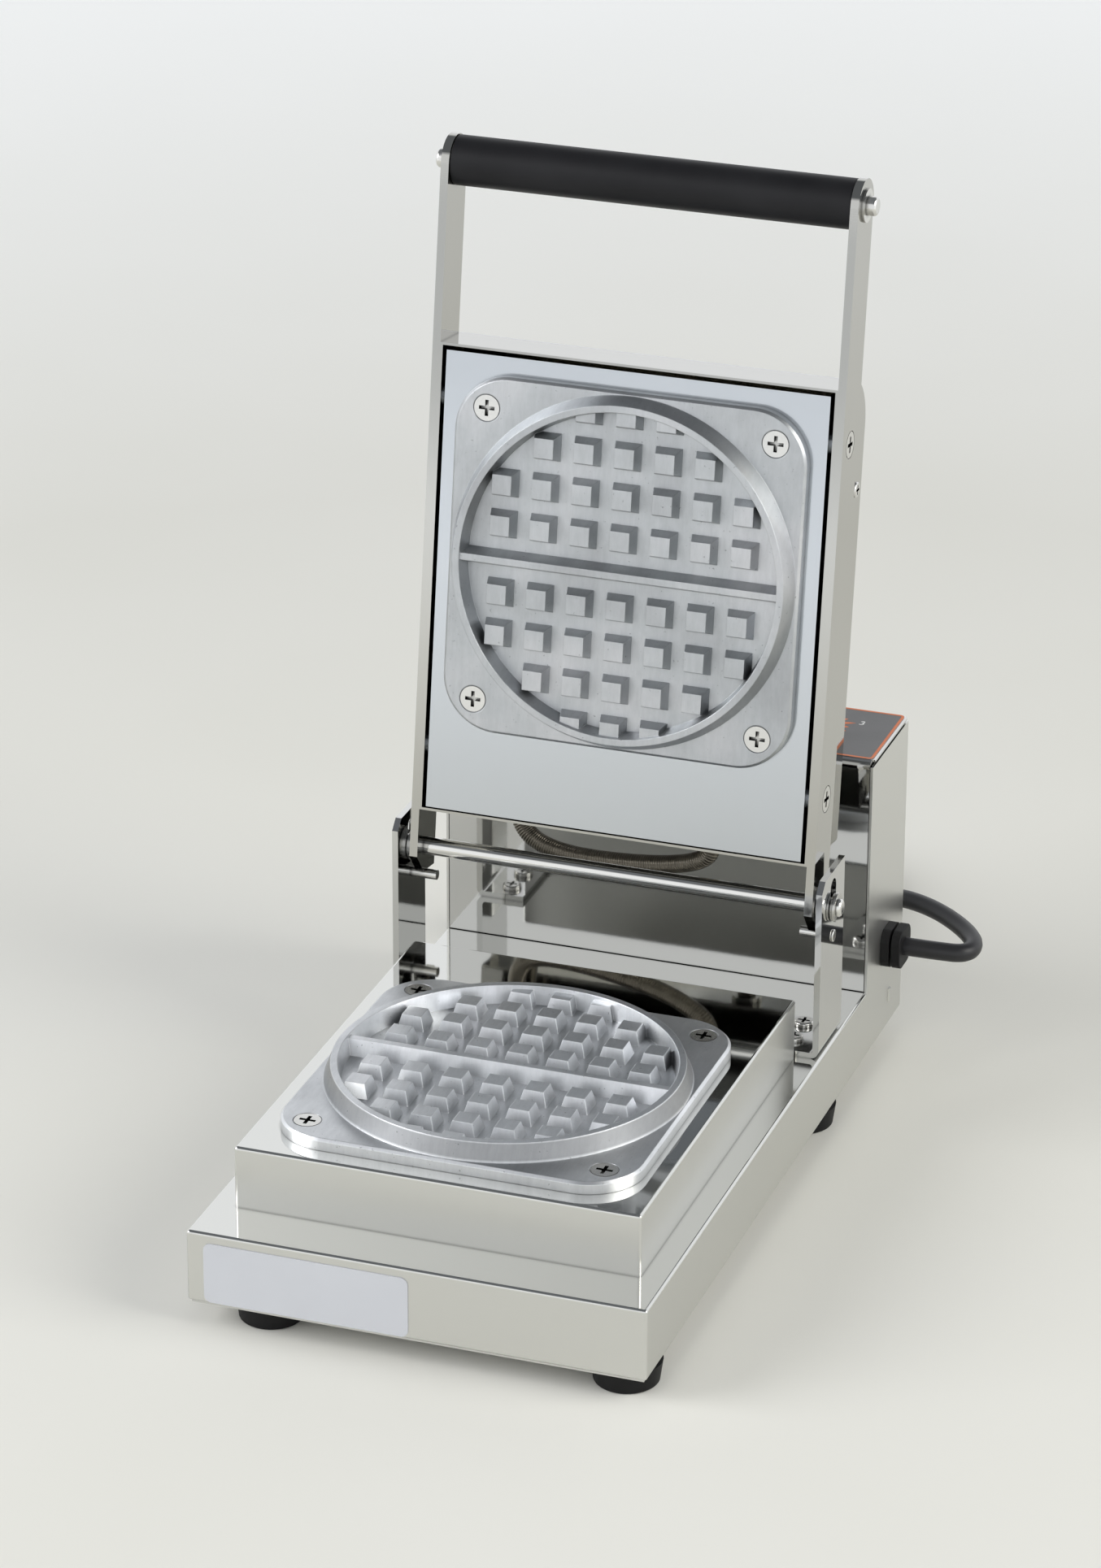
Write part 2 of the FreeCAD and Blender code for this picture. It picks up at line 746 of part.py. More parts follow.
rocker = rocker.fuse(bar_x(-pivot_half, pivot_half, control_y, pivot_z, rocker_pivot_radius))
rocker.rotate(V(0, control_y, pivot_z), V(1, 0, 0), -rocker_tilt)
save("power_rocker", rocker)

lamp_flange_z = overlay_top_z + lamp_flange
lamp_top_z = lamp_flange_z + lamp_dome
lamp = bar_z(0, 0, cover_under_z - lamp_body, overlay_top_z, lamp_radius)
lamp = lamp.fuse(bar_z(0, 0, overlay_top_z, lamp_flange_z, lamp_flange_radius))
dome = bar_z(0, 0, lamp_flange_z, lamp_top_z, lamp_radius)
lamp = lamp.fuse(rounded(dome, 0.8 * lamp_dome, lambda c: near(c.z, lamp_top_z)))
save("power_lamp", placed(lamp, V(-lamp_x, control_y, 0), upward))
save("heating_lamp", placed(lamp, V(lamp_x, control_y, 0), upward))

# Terminal strip under the deck
terminal_y = box_front_y - terminal_inset - terminal_width / 2
terminal_bottom_z = deck_under_z - terminal_height
terminal_strip = block(terminal_x - terminal_length / 2, terminal_x + terminal_length / 2,
                       terminal_y - terminal_width / 2, terminal_y + terminal_width / 2,
                       terminal_bottom_z, deck_under_z)
terminal_holes = []
for way in range(terminal_ways):
    hole_x = terminal_x + (way - (terminal_ways - 1) / 2) * terminal_pitch
    for hole_y in (terminal_y - terminal_row_gap, terminal_y + terminal_row_gap):
        terminal_holes.append(bar_z(hole_x, hole_y, terminal_bottom_z - 1,
                                    terminal_bottom_z + terminal_hole_depth, terminal_hole_radius))
save("terminal_strip", terminal_strip.cut(Part.makeCompound(terminal_holes)))

# Hinge brackets with upright slots for the rod
bracket_front_y = hinge_y - bracket_half_depth
bracket_back_y = hinge_y + bracket_half_depth
bracket_top_z = deck_height + bracket_height
bracket_foot_z = deck_height + bracket_thickness
upright_profile = [
    (bracket_front_y, deck_height),
    (bracket_front_y, bracket_top_z - bracket_chamfer),
    (bracket_front_y + bracket_chamfer, bracket_top_z),
    (bracket_back_y, bracket_top_z),
    (bracket_back_y, deck_height),
]
bracket = prism_x(upright_profile, bracket_inner_x, bracket_outer_x)
bracket = bracket.fuse(block(bracket_foot_x, bracket_inner_x, bracket_front_y, bracket_back_y,
                             deck_height, bracket_foot_z)).removeSplitter()
bracket = rounded(bracket, bracket_bend_radius,
                  lambda c: near(c.x, bracket_outer_x) and near(c.z, deck_height))
bracket = rounded(bracket, bracket_bend_radius - bracket_thickness,
                  lambda c: near(c.x, bracket_inner_x) and near(c.z, bracket_foot_z))
slot_radius = rod_radius + running_gap
slot_top_z = hinge_z + rod_lift + running_gap
slot = block(bracket_inner_x - 1, bracket_outer_x + 1, hinge_y - slot_radius, hinge_y + slot_radius,
             hinge_z, slot_top_z)
slot = slot.multiFuse([bar_x(bracket_inner_x - 1, bracket_outer_x + 1, hinge_y, z, slot_radius)
                       for z in (hinge_z, slot_top_z)])
open_turn = math.radians(-open_angle)
stop_reach = arm_tail + stop_pin_radius + stop_gap
stop_y = hinge_y + stop_reach * math.cos(open_turn) - stop_pin_back * math.sin(open_turn)
stop_z = hinge_z + stop_reach * math.sin(open_turn) + stop_pin_back * math.cos(open_turn)
bracket = bracket.cut(slot)
bracket = bracket.cut(bar_x(bracket_inner_x - 1, bracket_outer_x + 1, stop_y, stop_z,
                            stop_pin_radius + screw_gap))
for x, y in bracket_screw_points:
    bracket = bracket.cut(bar_z(x, y, deck_height - 1, bracket_foot_z + 1, screw_radius + screw_gap))
save("hinge_bracket_right", bracket)
save("hinge_bracket_left", mirrored(bracket))
stop_head_x = bracket_outer_x + stop_head_height
stop_pin = bar_x(bracket_inner_x - stop_pin_length, bracket_outer_x, stop_y, stop_z, stop_pin_radius)
stop_pin = stop_pin.fuse(bar_x(bracket_outer_x, stop_head_x, stop_y, stop_z, stop_head_radius))
stop_pin = rounded(stop_pin, stop_head_round, lambda c: near(c.x, stop_head_x))
save("stop_pins", stop_pin, mirrored(stop_pin))

# Lower case: folded sheet tray standing open side down on the deck
case_outer = block(-case_half_width, case_half_width, case_front_y, case_back_y, deck_height, case_top_z)
case_outer = rounded(case_outer, bend_radius, lambda c: not near(c.z, deck_height))
case_inner_x = case_half_width - sheet
case_inner = block(-case_inner_x, case_inner_x, case_front_y + sheet, case_back_y - sheet,
                   deck_height - 1, case_top_z - sheet)
lower_case = case_outer.cut(case_inner)
case_flanges = []
for side in (-1, 1):
    x0, x1 = sorted((side * (case_inner_x - flange_width), side * case_inner_x))
    case_flanges.append(block(x0, x1, case_front_y + sheet, case_back_y - sheet,
                              deck_height, deck_height + sheet))
lower_case = lower_case.multiFuse(case_flanges).removeSplitter()
plate_screw_points = []
for side_x in (-1, 1):
    for side_y in (-1, 1):
        plate_screw_points.append((side_x * plate_screw_offset, mould_y + side_y * plate_screw_offset))
case_cutters = [bar_z(0, mould_y, case_top_z - 2 * sheet, case_top_z + 1, plate_opening_radius)]
for x, y in plate_screw_points:
    case_cutters.append(bar_z(x, y, case_top_z - 2 * sheet, case_top_z + 1, plate_screw_radius + screw_gap))
for x, y in case_bolt_points:
    case_cutters.append(bar_z(x, y, deck_height - 1, deck_height + 2 * sheet, screw_radius + screw_gap))
save("lower_case", lower_case.cut(Part.makeCompound(case_cutters)))

# One size of screw and nut holds the feet, the brackets and the lower case
screw = pan_screw(screw_radius, screw_length)
nut = hex_nut(screw_radius)
base_screws = [placed(screw, V(x, y, foot_recess_depth), downward) for x, y in foot_points]
base_screws += [placed(screw, V(x, y, bracket_foot_z), upward) for x, y in bracket_screw_points]
base_screws += [placed(screw, V(x, y, deck_under_z), downward) for x, y in case_bolt_points]
save("base_screws", *base_screws)
base_nuts = [placed(nut, V(x, y, foot_height + sheet), upward) for x, y in foot_points]
base_nuts += [placed(nut, V(x, y, deck_under_z), downward) for x, y in bracket_screw_points]
base_nuts += [placed(nut, V(x, y, deck_height + sheet), upward) for x, y in case_bolt_points]
save("base_nuts", *base_nuts)


# Waffle plate, heater and clamp, modelled with the back of the plate at zero and the mould facing up
def square_wire(x, y, half, z):
    """Square outline centred on a point."""
    corners = [V(x + i * half, y + j * half, z) for i, j in ((-1, -1), (1, -1), (1, 1), (-1, 1))]
    return Part.makePolygon(corners + corners[:1])


def waffle_plate():
    """Cast plate: square flange, round rim, square pegs, a dividing rib and four countersunk holes."""
    half = plate_half_width
    plate = block(-half, half, -half, half, 0, plate_thickness)
    plate = rounded(plate, plate_corner_radius, lambda c: near(c.z, plate_thickness / 2))
    top_edges = [edge for edge in plate.Edges if near(edge.CenterOfMass.z, plate_thickness)]
    plate = plate.makeChamfer(plate_chamfer, top_edges)
    plate = plate.fuse(Part.makeCone(rim_base_radius, rim_top_radius, rim_height, V(0, 0, plate_thickness)))
    hollow = Part.makeCone(mould_floor_radius, rim_inner_radius, mould_depth, V(0, 0, mould_floor))
    plate = plate.cut(hollow)
    pegs = []
    rows = int((peg_reach - peg_first_row) / peg_pitch) + 1
    for row in range(rows):
        row_y = peg_first_row + row * peg_pitch
        columns = int(math.sqrt(peg_reach ** 2 - row_y ** 2) / peg_pitch)
        for column in range(-columns, columns + 1):
            for y in (-row_y, row_y):
                base = square_wire(column * peg_pitch, y, peg_base / 2, mould_floor)
                top = square_wire(column * peg_pitch, y, peg_top / 2, mould_floor + peg_height)
                pegs.append(Part.makeLoft([base, top], True, True))
    inside_rim = bar_z(0, 0, mould_floor, rim_top, rim_inner_radius + rim_width / 2)
    added = [peg.common(inside_rim) for peg in pegs]
    rib_top = rim_top - divider_drop
    rib_profile = [
        (-divider_base / 2, mould_floor),
        (-divider_top / 2, rib_top),
        (divider_top / 2, rib_top),
        (divider_base / 2, mould_floor),
    ]
    added.append(prism_x(rib_profile, -rim_inner_radius, rim_inner_radius))
    added.append(bar_z(0, 0, -heater_depth, 0, clamp_boss_radius))
    plate = plate.multiFuse(added).removeSplitter()
    plate = plate.cut(bar_z(0, 0, -heater_depth - 1, clamp_bolt_reach + 1, plate_screw_radius + screw_gap))
    hole = countersunk_hole(plate_screw_radius, plate_thickness + 2)
    for x in (-plate_screw_offset, plate_screw_offset):
        for y in (-plate_screw_offset, plate_screw_offset):
            plate = plate.cut(placed(hole, V(x, y, plate_thickness), upward))
    return plate


def heater():
    """Tubular element: an open ring with two legs turned away from the plate, each ending in a pin."""
    ring = Part.makeTorus(heater_ring_radius, heater_radius, V(0, 0, 0), V(0, 0, 1), 0, 360, heater_angle)
    ring.rotate(V(0, 0, 0), V(0, 0, 1), (360 - heater_angle) / 2)
    pieces = []
    for side in (-1, 1):
        angle = math.radians(side * (360 - heater_angle) / 2)
        x = heater_ring_radius * math.cos(angle)
        y = heater_ring_radius * math.sin(angle)
        pieces.append(Part.makeSphere(heater_radius, V(x, y, 0)))
        pieces.append(bar_z(x, y, -heater_leg, 0, heater_radius))
        pieces.append(bar_z(x, y, -heater_leg - heater_pin, -heater_leg, heater_pin_radius))
    element = ring.multiFuse(pieces)
    element.translate(V(0, 0, -heater_radius - heater_gap))
    return element


clamp_back = -heater_depth - clamp_thickness
notch_inner_x = heater_ring_radius - 2 * heater_radius
clamp = bar_z(0, 0, clamp_back, -heater_depth, clamp_radius)
clamp = clamp.cut(block(notch_inner_x, clamp_radius + 1, -clamp_notch_half, clamp_notch_half,
                        clamp_back - 1, -heater_depth + 1))
clamp = clamp.cut(bar_z(0, 0, clamp_back - 1, 1 - heater_depth, plate_screw_radius + screw_gap))
clamp_bolt = hex_prism(3.4 * plate_screw_radius, clamp_bolt_head)
clamp_bolt.translate(V(0, 0, clamp_back - clamp_bolt_head))
clamp_bolt = clamp_bolt.fuse(bar_z(0, 0, clamp_back, clamp_bolt_reach, plate_screw_radius))
cutout = bar_z(-cutout_offset, 0, clamp_back - cutout_height, clamp_back, cutout_radius)
cutout = cutout.fuse(block(-cutout_offset - cutout_tab_half_length, -cutout_offset + cutout_tab_half_length,
                           -cutout_tab_half_width, cutout_tab_half_width,
                           clamp_back - cutout_tab_thickness, clamp_back))

# Lower heating plate, facing up
lower_place = V(0, mould_y, case_top_z)
save("lower_waffle_plate", placed(waffle_plate(), lower_place, upward))
save("lower_heater", placed(heater(), lower_place, upward))
save("lower_heater_clamp", placed(clamp, lower_place, upward))
save("lower_clamp_bolt", placed(clamp_bolt, lower_place, upward))
save("thermal_cutout", placed(cutout, lower_place, upward))
plate_screw = countersunk_screw(plate_screw_radius, plate_screw_length)
plate_nut = hex_nut(plate_screw_radius)
lower_screws = [placed(plate_screw, V(x, y, lower_face_z), upward) for x, y in plate_screw_points]
lower_nuts = [placed(plate_nut, V(x, y, case_top_z - sheet), downward) for x, y in plate_screw_points]
save("lower_plate_screws", *lower_screws)
save("lower_plate_nuts", *lower_nuts)
pad_half_width = case_inner_x - pad_side_margin
pad_top_z = deck_height + pad_height
lower_pad = block(-pad_half_width, pad_half_width,
                  case_front_y + pad_end_margin, case_back_y - pad_end_margin, deck_height, pad_top_z)
lower_pad = lower_pad.cut(block(notch_inner_x - pad_gap, clamp_radius,
                                mould_y - clamp_notch_half, mould_y + clamp_notch_half,
                                deck_height - 1, pad_top_z + 1))
lower_pad = lower_pad.cut(bar_z(-cutout_offset, mould_y, deck_height - 1, pad_top_z + 1,
                                cutout_radius + pad_gap))
save("lower_insulation", lower_pad)

# Lid shell and face plate, modelled closed
lid_inner_x = lid_half_width - sheet
lid_under_z = lid_top_z - sheet
shell_outer = block(-lid_half_width, lid_half_width, lid_front_y, lid_back_y, lid_face_z, lid_top_z)
shell_outer = rounded(shell_outer, lid_bend_radius,
                      lambda c: near(c.y, lid_front_y) and near(c.z, lid_top_z))
shell_outer = rounded(shell_outer, bend_radius,
                      lambda c: near(c.y, lid_back_y) and near(c.z, lid_top_z))
shell_inner = block(-lid_inner_x, lid_inner_x, lid_front_y + sheet, lid_back_y - sheet,
                    lid_face_z - 1, lid_under_z)
shell_inner = rounded(shell_inner, lid_bend_radius - sheet,
                      lambda c: near(c.y, lid_front_y + sheet) and near(c.z, lid_under_z))
shell = shell_outer.cut(shell_inner)
arm_screw_points = [(side, y) for side in (-1, 1) for y in arm_screw_ys]
lid_cutters = [bar_y(conduit_lid_x, lid_back_y - 2 * sheet, lid_back_y + 1, conduit_lid_z,
                     gland_thread_radius)]
for side, y in arm_screw_points:
    x0, x1 = sorted((side * (lid_inner_x - 1), side * (lid_half_width + 1)))
    lid_cutters.append(bar_x(x0, x1, y, hinge_z, plate_screw_radius + screw_gap))
for side in (-1, 1):
    x0, x1 = sorted((side * (lid_inner_x - 1), side * (lid_half_width + 1)))
    lid_cutters.append(bar_x(x0, x1, lid_side_screw_y, lid_side_screw_z, small_screw_radius + screw_gap))
save_lid("lid_shell", shell.cut(Part.makeCompound(lid_cutters)))

face_half_width = lid_half_width - face_gap
face_flange_x = face_half_width - sheet
face_front_y = lid_front_y + face_gap
face_back_y = lid_back_y - face_back_gap
face = block(-face_half_width, face_half_width, face_front_y, face_back_y,
             lid_face_z, lid_face_z + face_flange_height)
face = face.cut(block(-face_flange_x, face_flange_x, face_front_y - 1, face_back_y + 1,
                      lid_face_z + sheet, lid_face_z + face_flange_height + 1))
for side, y in arm_screw_points:
    x0, x1 = sorted((side * face_flange_x, side * lid_inner_x))
    face = face.fuse(bar_x(x0, x1, y, hinge_z, face_pad_radius))
face_cutters = [bar_z(0, mould_y, lid_face_z - 1, lid_face_z + 2 * sheet, plate_opening_radius)]
for x, y in plate_screw_points:
    face_cutters.append(bar_z(x, y, lid_face_z - 1, lid_face_z + 2 * sheet, plate_screw_radius + screw_gap))
for side, y in arm_screw_points:
    x0, x1 = sorted((side * (face_flange_x - 1), side * lid_half_width))
    face_cutters.append(bar_x(x0, x1, y, hinge_z, plate_screw_radius + screw_gap))
save_lid("lid_face_plate", face.cut(Part.makeCompound(face_cutters)))

# Upper heating plate, facing down when closed
upper_place = V(0, mould_y, lid_face_z)
save_lid("upper_waffle_plate", placed(waffle_plate(), upper_place, downward))
save_lid("upper_heater", placed(heater(), upper_place, downward))
save_lid("upper_heater_clamp", placed(clamp, upper_place, downward))
save_lid("upper_clamp_bolt", placed(clamp_bolt, upper_place, downward))
lid_screws = [placed(plate_screw, V(x, y, upper_face_z), downward) for x, y in plate_screw_points]
lid_nuts = [placed(plate_nut, V(x, y, lid_face_z + sheet), upward) for x, y in plate_screw_points]
for side, y in arm_screw_points:
    lid_screws.append(placed(plate_screw, V(side * arm_outer_x, y, hinge_z), V(side, 0, 0)))
    lid_nuts.append(placed(plate_nut, V(side * face_flange_x, y, hinge_z), V(-side, 0, 0)))
save_lid("lid_screws", *lid_screws)
save_lid("lid_nuts", *lid_nuts)
pad_bottom_z = lid_face_z + heater_depth + clamp_thickness + clamp_bolt_head + pad_gap
lid_pad_half_width = lid_inner_x - pad_side_margin
upper_pad = block(-lid_pad_half_width, lid_pad_half_width,
                  lid_front_y + lid_bend_radius + pad_gap, lid_back_y - pad_end_margin,
                  pad_bottom_z, lid_under_z)
upper_pad = upper_pad.cut(block(-clamp_radius, clamp_radius,
                                mould_y - clamp_notch_half, mould_y + clamp_notch_half,
                                pad_bottom_z - 1,
                                lid_face_z + heater_depth + heater_leg + heater_pin + pad_gap))
save_lid("upper_insulation", upper_pad)
lid_side_screws = []
for side in (-1, 1):
    spot = V(side * lid_half_width, lid_side_screw_y, lid_side_screw_z)
    lid_side_screws.append(placed(rear_screw, spot, V(side, 0, 0)))
save_lid("lid_side_screws", *lid_side_screws)

# Arms, handle and their screws
arm_profile = [
    (handle_y, lid_face_z),
    (hinge_y + arm_tail - arm_tail_chamfer, lid_face_z),
    (hinge_y + arm_tail, lid_face_z + arm_tail_chamfer),
    (hinge_y + arm_tail, lid_face_z + arm_width),
    (handle_y, lid_face_z + arm_width),
]
arm = prism_x(arm_profile, lid_half_width, arm_outer_x)
arm = arm.fuse(bar_x(lid_half_width, arm_outer_x, handle_y, hinge_z, arm_width / 2)).removeSplitter()
arm = arm.cut(bar_x(lid_half_width - 1, arm_outer_x + 1, hinge_y, hinge_z, rod_radius + running_gap))
arm = arm.cut(bar_x(lid_half_width - 1, arm_outer_x + 1, handle_y, hinge_z, handle_bolt_radius + screw_gap))
arm_hole = countersunk_hole(plate_screw_radius, arm_thickness + 2)
for y in arm_screw_ys:
    arm = arm.cut(placed(arm_hole, V(arm_outer_x, y, hinge_z), V(1, 0, 0)))
save_lid("arm_right", arm)
save_lid("arm_left", mirrored(arm))
grip = bar_x(-lid_half_width, lid_half_width, handle_y, hinge_z, grip_radius)
grip = rounded(grip, grip_edge_radius, lambda c: near(abs(c.x), lid_half_width))
grip_hole_x = lid_half_width - handle_bolt_depth - 1
for x0, x1 in ((-lid_half_width - 1, -grip_hole_x), (grip_hole_x, lid_half_width + 1)):
    grip = grip.cut(bar_x(x0, x1, handle_y, hinge_z, handle_bolt_radius + screw_gap))
save_lid("handle_grip", grip)
handle_washer_x = arm_outer_x + washer_thickness
handle_washer = bar_x(arm_outer_x, handle_washer_x, handle_y, hinge_z, handle_washer_radius)
handle_washer = handle_washer.cut(bar_x(arm_outer_x - 1, handle_washer_x + 1, handle_y, hinge_z,
                                        handle_bolt_radius + screw_gap))
save_lid("handle_washers", handle_washer, mirrored(handle_washer))
handle_head_x = handle_washer_x + handle_head_height
handle_bolt = bar_x(handle_washer_x, handle_head_x, handle_y, hinge_z, handle_head_radius)
handle_bolt = rounded(handle_bolt, handle_head_round, lambda c: near(c.x, handle_head_x))
handle_bolt = handle_bolt.fuse(bar_x(lid_half_width - handle_bolt_depth, handle_washer_x, handle_y, hinge_z,
                                     handle_bolt_radius))
save_lid("handle_bolts", handle_bolt, mirrored(handle_bolt))

# Hinge rod that floats in the bracket slots, with its washers and clips
clip_x = bracket_outer_x + side_gap + washer_thickness + clip_gap
clip_end_x = clip_x + clip_thickness
groove_radius = rod_radius - clip_groove_depth
rod = bar_x(-rod_half_length, rod_half_length, hinge_y, hinge_z, rod_radius)
rod = rounded(rod, rod_end_round, lambda c: near(abs(c.x), rod_half_length))
for side in (-1, 1):
    x0, x1 = sorted((side * clip_x, side * clip_end_x))
    band = bar_x(x0, x1, hinge_y, hinge_z, rod_radius + 1)
    rod = rod.cut(band.cut(bar_x(x0, x1, hinge_y, hinge_z, groove_radius)))
save("hinge_rod", rod)


def rod_ring(x0, x1, outer_radius, bore_radius):
    """Washer on the hinge rod."""
    ring = bar_x(x0, x1, hinge_y, hinge_z, outer_radius)
    return ring.cut(bar_x(x0 - 1, x1 + 1, hinge_y, hinge_z, bore_radius))


spacer_washer = rod_ring(arm_outer_x + side_gap, bracket_inner_x - side_gap,
                         spacer_washer_radius, rod_radius + screw_gap)
save("spacer_washers", spacer_washer, mirrored(spacer_washer))
outer_washer = rod_ring(bracket_outer_x + side_gap, clip_x - clip_gap,
                        rod_washer_radius, rod_radius + screw_gap)
save("rod_washers", outer_washer, mirrored(outer_washer))
clip = rod_ring(clip_x, clip_end_x, clip_radius, groove_radius + screw_gap)
clip = clip.cut(block(clip_x - 1, clip_end_x + 1, hinge_y - clip_mouth_half, hinge_y + clip_mouth_half,
                      hinge_z - clip_radius - 1, hinge_z))
save("rod_clips", clip, mirrored(clip))


# Bent and wound tubes
def unit(vector):
    """Vector of length one in the same direction."""
    return vector * (1.0 / vector.Length)


def bent_path(points, label):
    """Straight runs joined by tangent arcs; prints the bend radii."""
    edges = []
    radii = []
    last = points[0]
    for before, corner, after in zip(points, points[1:], points[2:]):
        back = unit(before - corner)
        ahead = unit(after - corner)
        turn = math.pi - back.getAngle(ahead)
        cut = cord_bend_share * min((before - corner).Length, (after - corner).Length)
        radius = cut / math.tan(turn / 2)
        start = corner + back * cut
        end = corner + ahead * cut
        middle = corner + unit(back + ahead) * (radius / math.cos(turn / 2) - radius)
        edges.append(Part.LineSegment(last, start).toShape())
        edges.append(Part.Arc(start, middle, end).toShape())
        radii.append(round(radius, 1))
        last = end
    edges.append(Part.LineSegment(last, points[-1]).toShape())
    print(label, "bend radii", radii)
    return Part.Wire(edges)


def tube(path, start, heading, radius, label):
    """Round tube along a path; prints its volume beside section times length."""
    ring = Part.Wire(Part.Circle(start, heading, radius).toShape())
    solid = path.makePipeShell([ring], True, False)
    expected = math.pi * radius ** 2 * path.Length
    print("%s length %.1f volume ratio %.4f" % (label, path.Length, solid.Volume / expected))
    return solid


# Cord bushing on the right side of the control box
def bushing_block(x0, x1, size):
    """Square block with rounded corners, along X."""
    half = size / 2
    body = block(x0, x1, bushing_y - half, bushing_y + half, bushing_z - half, bushing_z + half)
    return rounded(body, 0.3 * size, lambda c: near(c.x, (x0 + x1) / 2))


first_block = bushing_block(half_width, half_width + bushing_step, bushing_size)
second_block = bushing_block(cord_exit_x - bushing_step, cord_exit_x, bushing_size)
bushing_neck = bar_x(half_width - bushing_neck_depth, cord_exit_x - bushing_step, bushing_y, bushing_z,
                     bushing_neck_radius - screw_gap)
bushing = first_block.multiFuse([second_block, bushing_neck]).removeSplitter()
bushing = rounded(bushing, bushing_edge_radius, lambda c: near(c.x, cord_exit_x))
save("cord_bushing", bushing)

# Power cord: out to the right, folded back around the rear corner, down to the floor behind
coil_turn_pitch = cord_diameter + coil_gap
coil_low_z = cord_radius + tie_thickness + tie_gap + tie_floor_gap
coil_outer_radius = coil_mid_radius + coil_turns * coil_turn_pitch / 4
coil_near_y = coil_y - coil_outer_radius
coil_start = V(coil_x + cord_diameter, coil_near_y, coil_low_z)
cord_points = [
    V(cord_exit_x, bushing_y, bushing_z),
    V(cord_exit_x + 13.0, bushing_y, bushing_z),
    V(cord_exit_x + 32.5, bushing_y + 2.2, bushing_z - 0.4),
    V(cord_exit_x + 30.5, rear_y - 8.0, bushing_z - 0.6),
    V(cord_exit_x + 4.0, rear_y + 18.5, bushing_z - 0.8),
    V(half_width - 15.0, rear_y + 35.0, bushing_z - 4.0),
    V(half_width - 37.0, rear_y + 45.0, bushing_z - 16.0),
    V(half_width - 58.0, rear_y + 52.0, bushing_z - 36.0),
    coil_start + V(25.0, 0, 0),
    coil_start,
]
cord_path = bent_path(cord_points, "power_cord")
cord_heading = cord_points[1] - cord_points[0]
save("power_cord", tube(cord_path, cord_points[0], cord_heading, cord_radius, "power_cord"))


# Coil: the cord spirals in on the floor, climbs one layer where it reverses and spirals out again
def coil_point(turn):
    """Point of the coil centre line after a number of turns, clockwise from the near side."""
    middle = coil_turns / 2
    radius = coil_outer_radius - coil_turn_pitch * (middle - abs(turn - middle))
    climb = min(max((turn - middle) / 0.5 + 0.5, 0.0), 1.0)
    smooth = climb * climb * (3 - 2 * climb)
    angle = math.radians(-90.0) - 2 * math.pi * turn
    return V(coil_x + radius * math.cos(angle), coil_y + radius * math.sin(angle),
             coil_low_z + smooth * coil_turn_pitch)


def coil_heading(turn):
    """Direction of the coil centre line."""
    step = 0.0005
    return unit(coil_point(turn + step) - coil_point(turn - step))


def arc_from(start, heading, end):
    """Arc that leaves start along heading and reaches end."""
    chord = end - start
    across = chord - heading * chord.dot(heading)
    if across.Length < 1e-6:
        return Part.LineSegment(start, end).toShape()
    side = unit(across)
    radius = chord.dot(chord) / (2 * chord.dot(side))
    centre = start + side * radius
    middle = centre + unit((start + end) * 0.5 - centre) * radius
    return Part.Arc(start, middle, end).toShape()


def biarc(start, start_heading, end, end_heading):
    """Two arcs that join two points with the given directions at both."""
    chord = end - start
    total = start_heading + end_heading
    spread = 2 * (1 - start_heading.dot(end_heading))
    along = chord.dot(total)
    reach = (math.sqrt(along * along + spread * chord.dot(chord)) - along) / spread
    joint = (start + end + (start_heading - end_heading) * reach) * 0.5
    first = arc_from(start, start_heading, joint)
    second_back = arc_from(end, end_heading * -1.0, joint)
    points = second_back.discretize(3)
    second = Part.Arc(points[2], points[1], points[0]).toShape()
    return [first, second]


def least_gap(path, radius, apart):
    """Smallest clear distance of a wound tube to itself, on points further apart along it than given."""
    points = [tuple(point) for point in path.discretize(Distance=gap_sample_step)]
    skip = int(apart / gap_sample_step)
    distances = []
    for index, point in enumerate(points[:-skip]):
        distances.append(min(math.dist(point, other) for other in points[index + skip:]))
    return min(distances) - 2 * radius


coil_steps = 4 * coil_turns
stations = [k * coil_turns / coil_steps for k in range(coil_steps + 1)]
coil_end = V(coil_x - cord_diameter, coil_near_y, coil_low_z + coil_turn_pitch)
along_floor = V(-1, 0, 0)
joints = [(coil_point(turn), coil_heading(turn)) for turn in stations]
joints[0] = (coil_point(0), along_floor)
joints[-1] = (coil_point(coil_turns), along_floor)
coil_edges = [Part.LineSegment(coil_start, joints[0][0]).toShape()]
for (start, start_heading), (end, end_heading) in zip(joints, joints[1:]):
    coil_edges.extend(biarc(start, start_heading, end, end_heading))
coil_edges.append(Part.LineSegment(joints[-1][0], coil_end).toShape())
coil_path = Part.Wire(coil_edges)
half_turn = math.pi * coil_mid_radius
print("power_cord_coil least gap to itself %.2f" % least_gap(coil_path, cord_radius, half_turn))
save("power_cord_coil", tube(coil_path, coil_start, along_floor, cord_radius, "power_cord_coil"))

# Tie strap round the bundle
tie_turn = (-90.0 - tie_angle) % 360.0 / 360.0
tie_radii = []
for k in range(coil_turns):
    here = coil_point(tie_turn + k)
    tie_radii.append(math.hypot(here.x - coil_x, here.y - coil_y))
tie_inner = min(tie_radii) - cord_radius - tie_gap
tie_outer = max(tie_radii) + cord_radius + tie_gap
tie_low = coil_low_z - cord_radius - tie_gap
tie_high = coil_low_z + coil_turn_pitch + cord_radius + tie_gap
tie = block(tie_inner - tie_thickness, tie_outer + tie_thickness, -tie_width / 2, tie_width / 2,
            tie_low - tie_thickness, tie_high + tie_thickness)
tie = rounded(tie, tie_bend_radius + tie_thickness, lambda c: near(c.y, 0))
tie_hollow = block(tie_inner, tie_outer, -tie_width, tie_width, tie_low, tie_high)
tie_hollow = rounded(tie_hollow, tie_bend_radius, lambda c: near(c.y, 0))
tie = tie.cut(tie_hollow)
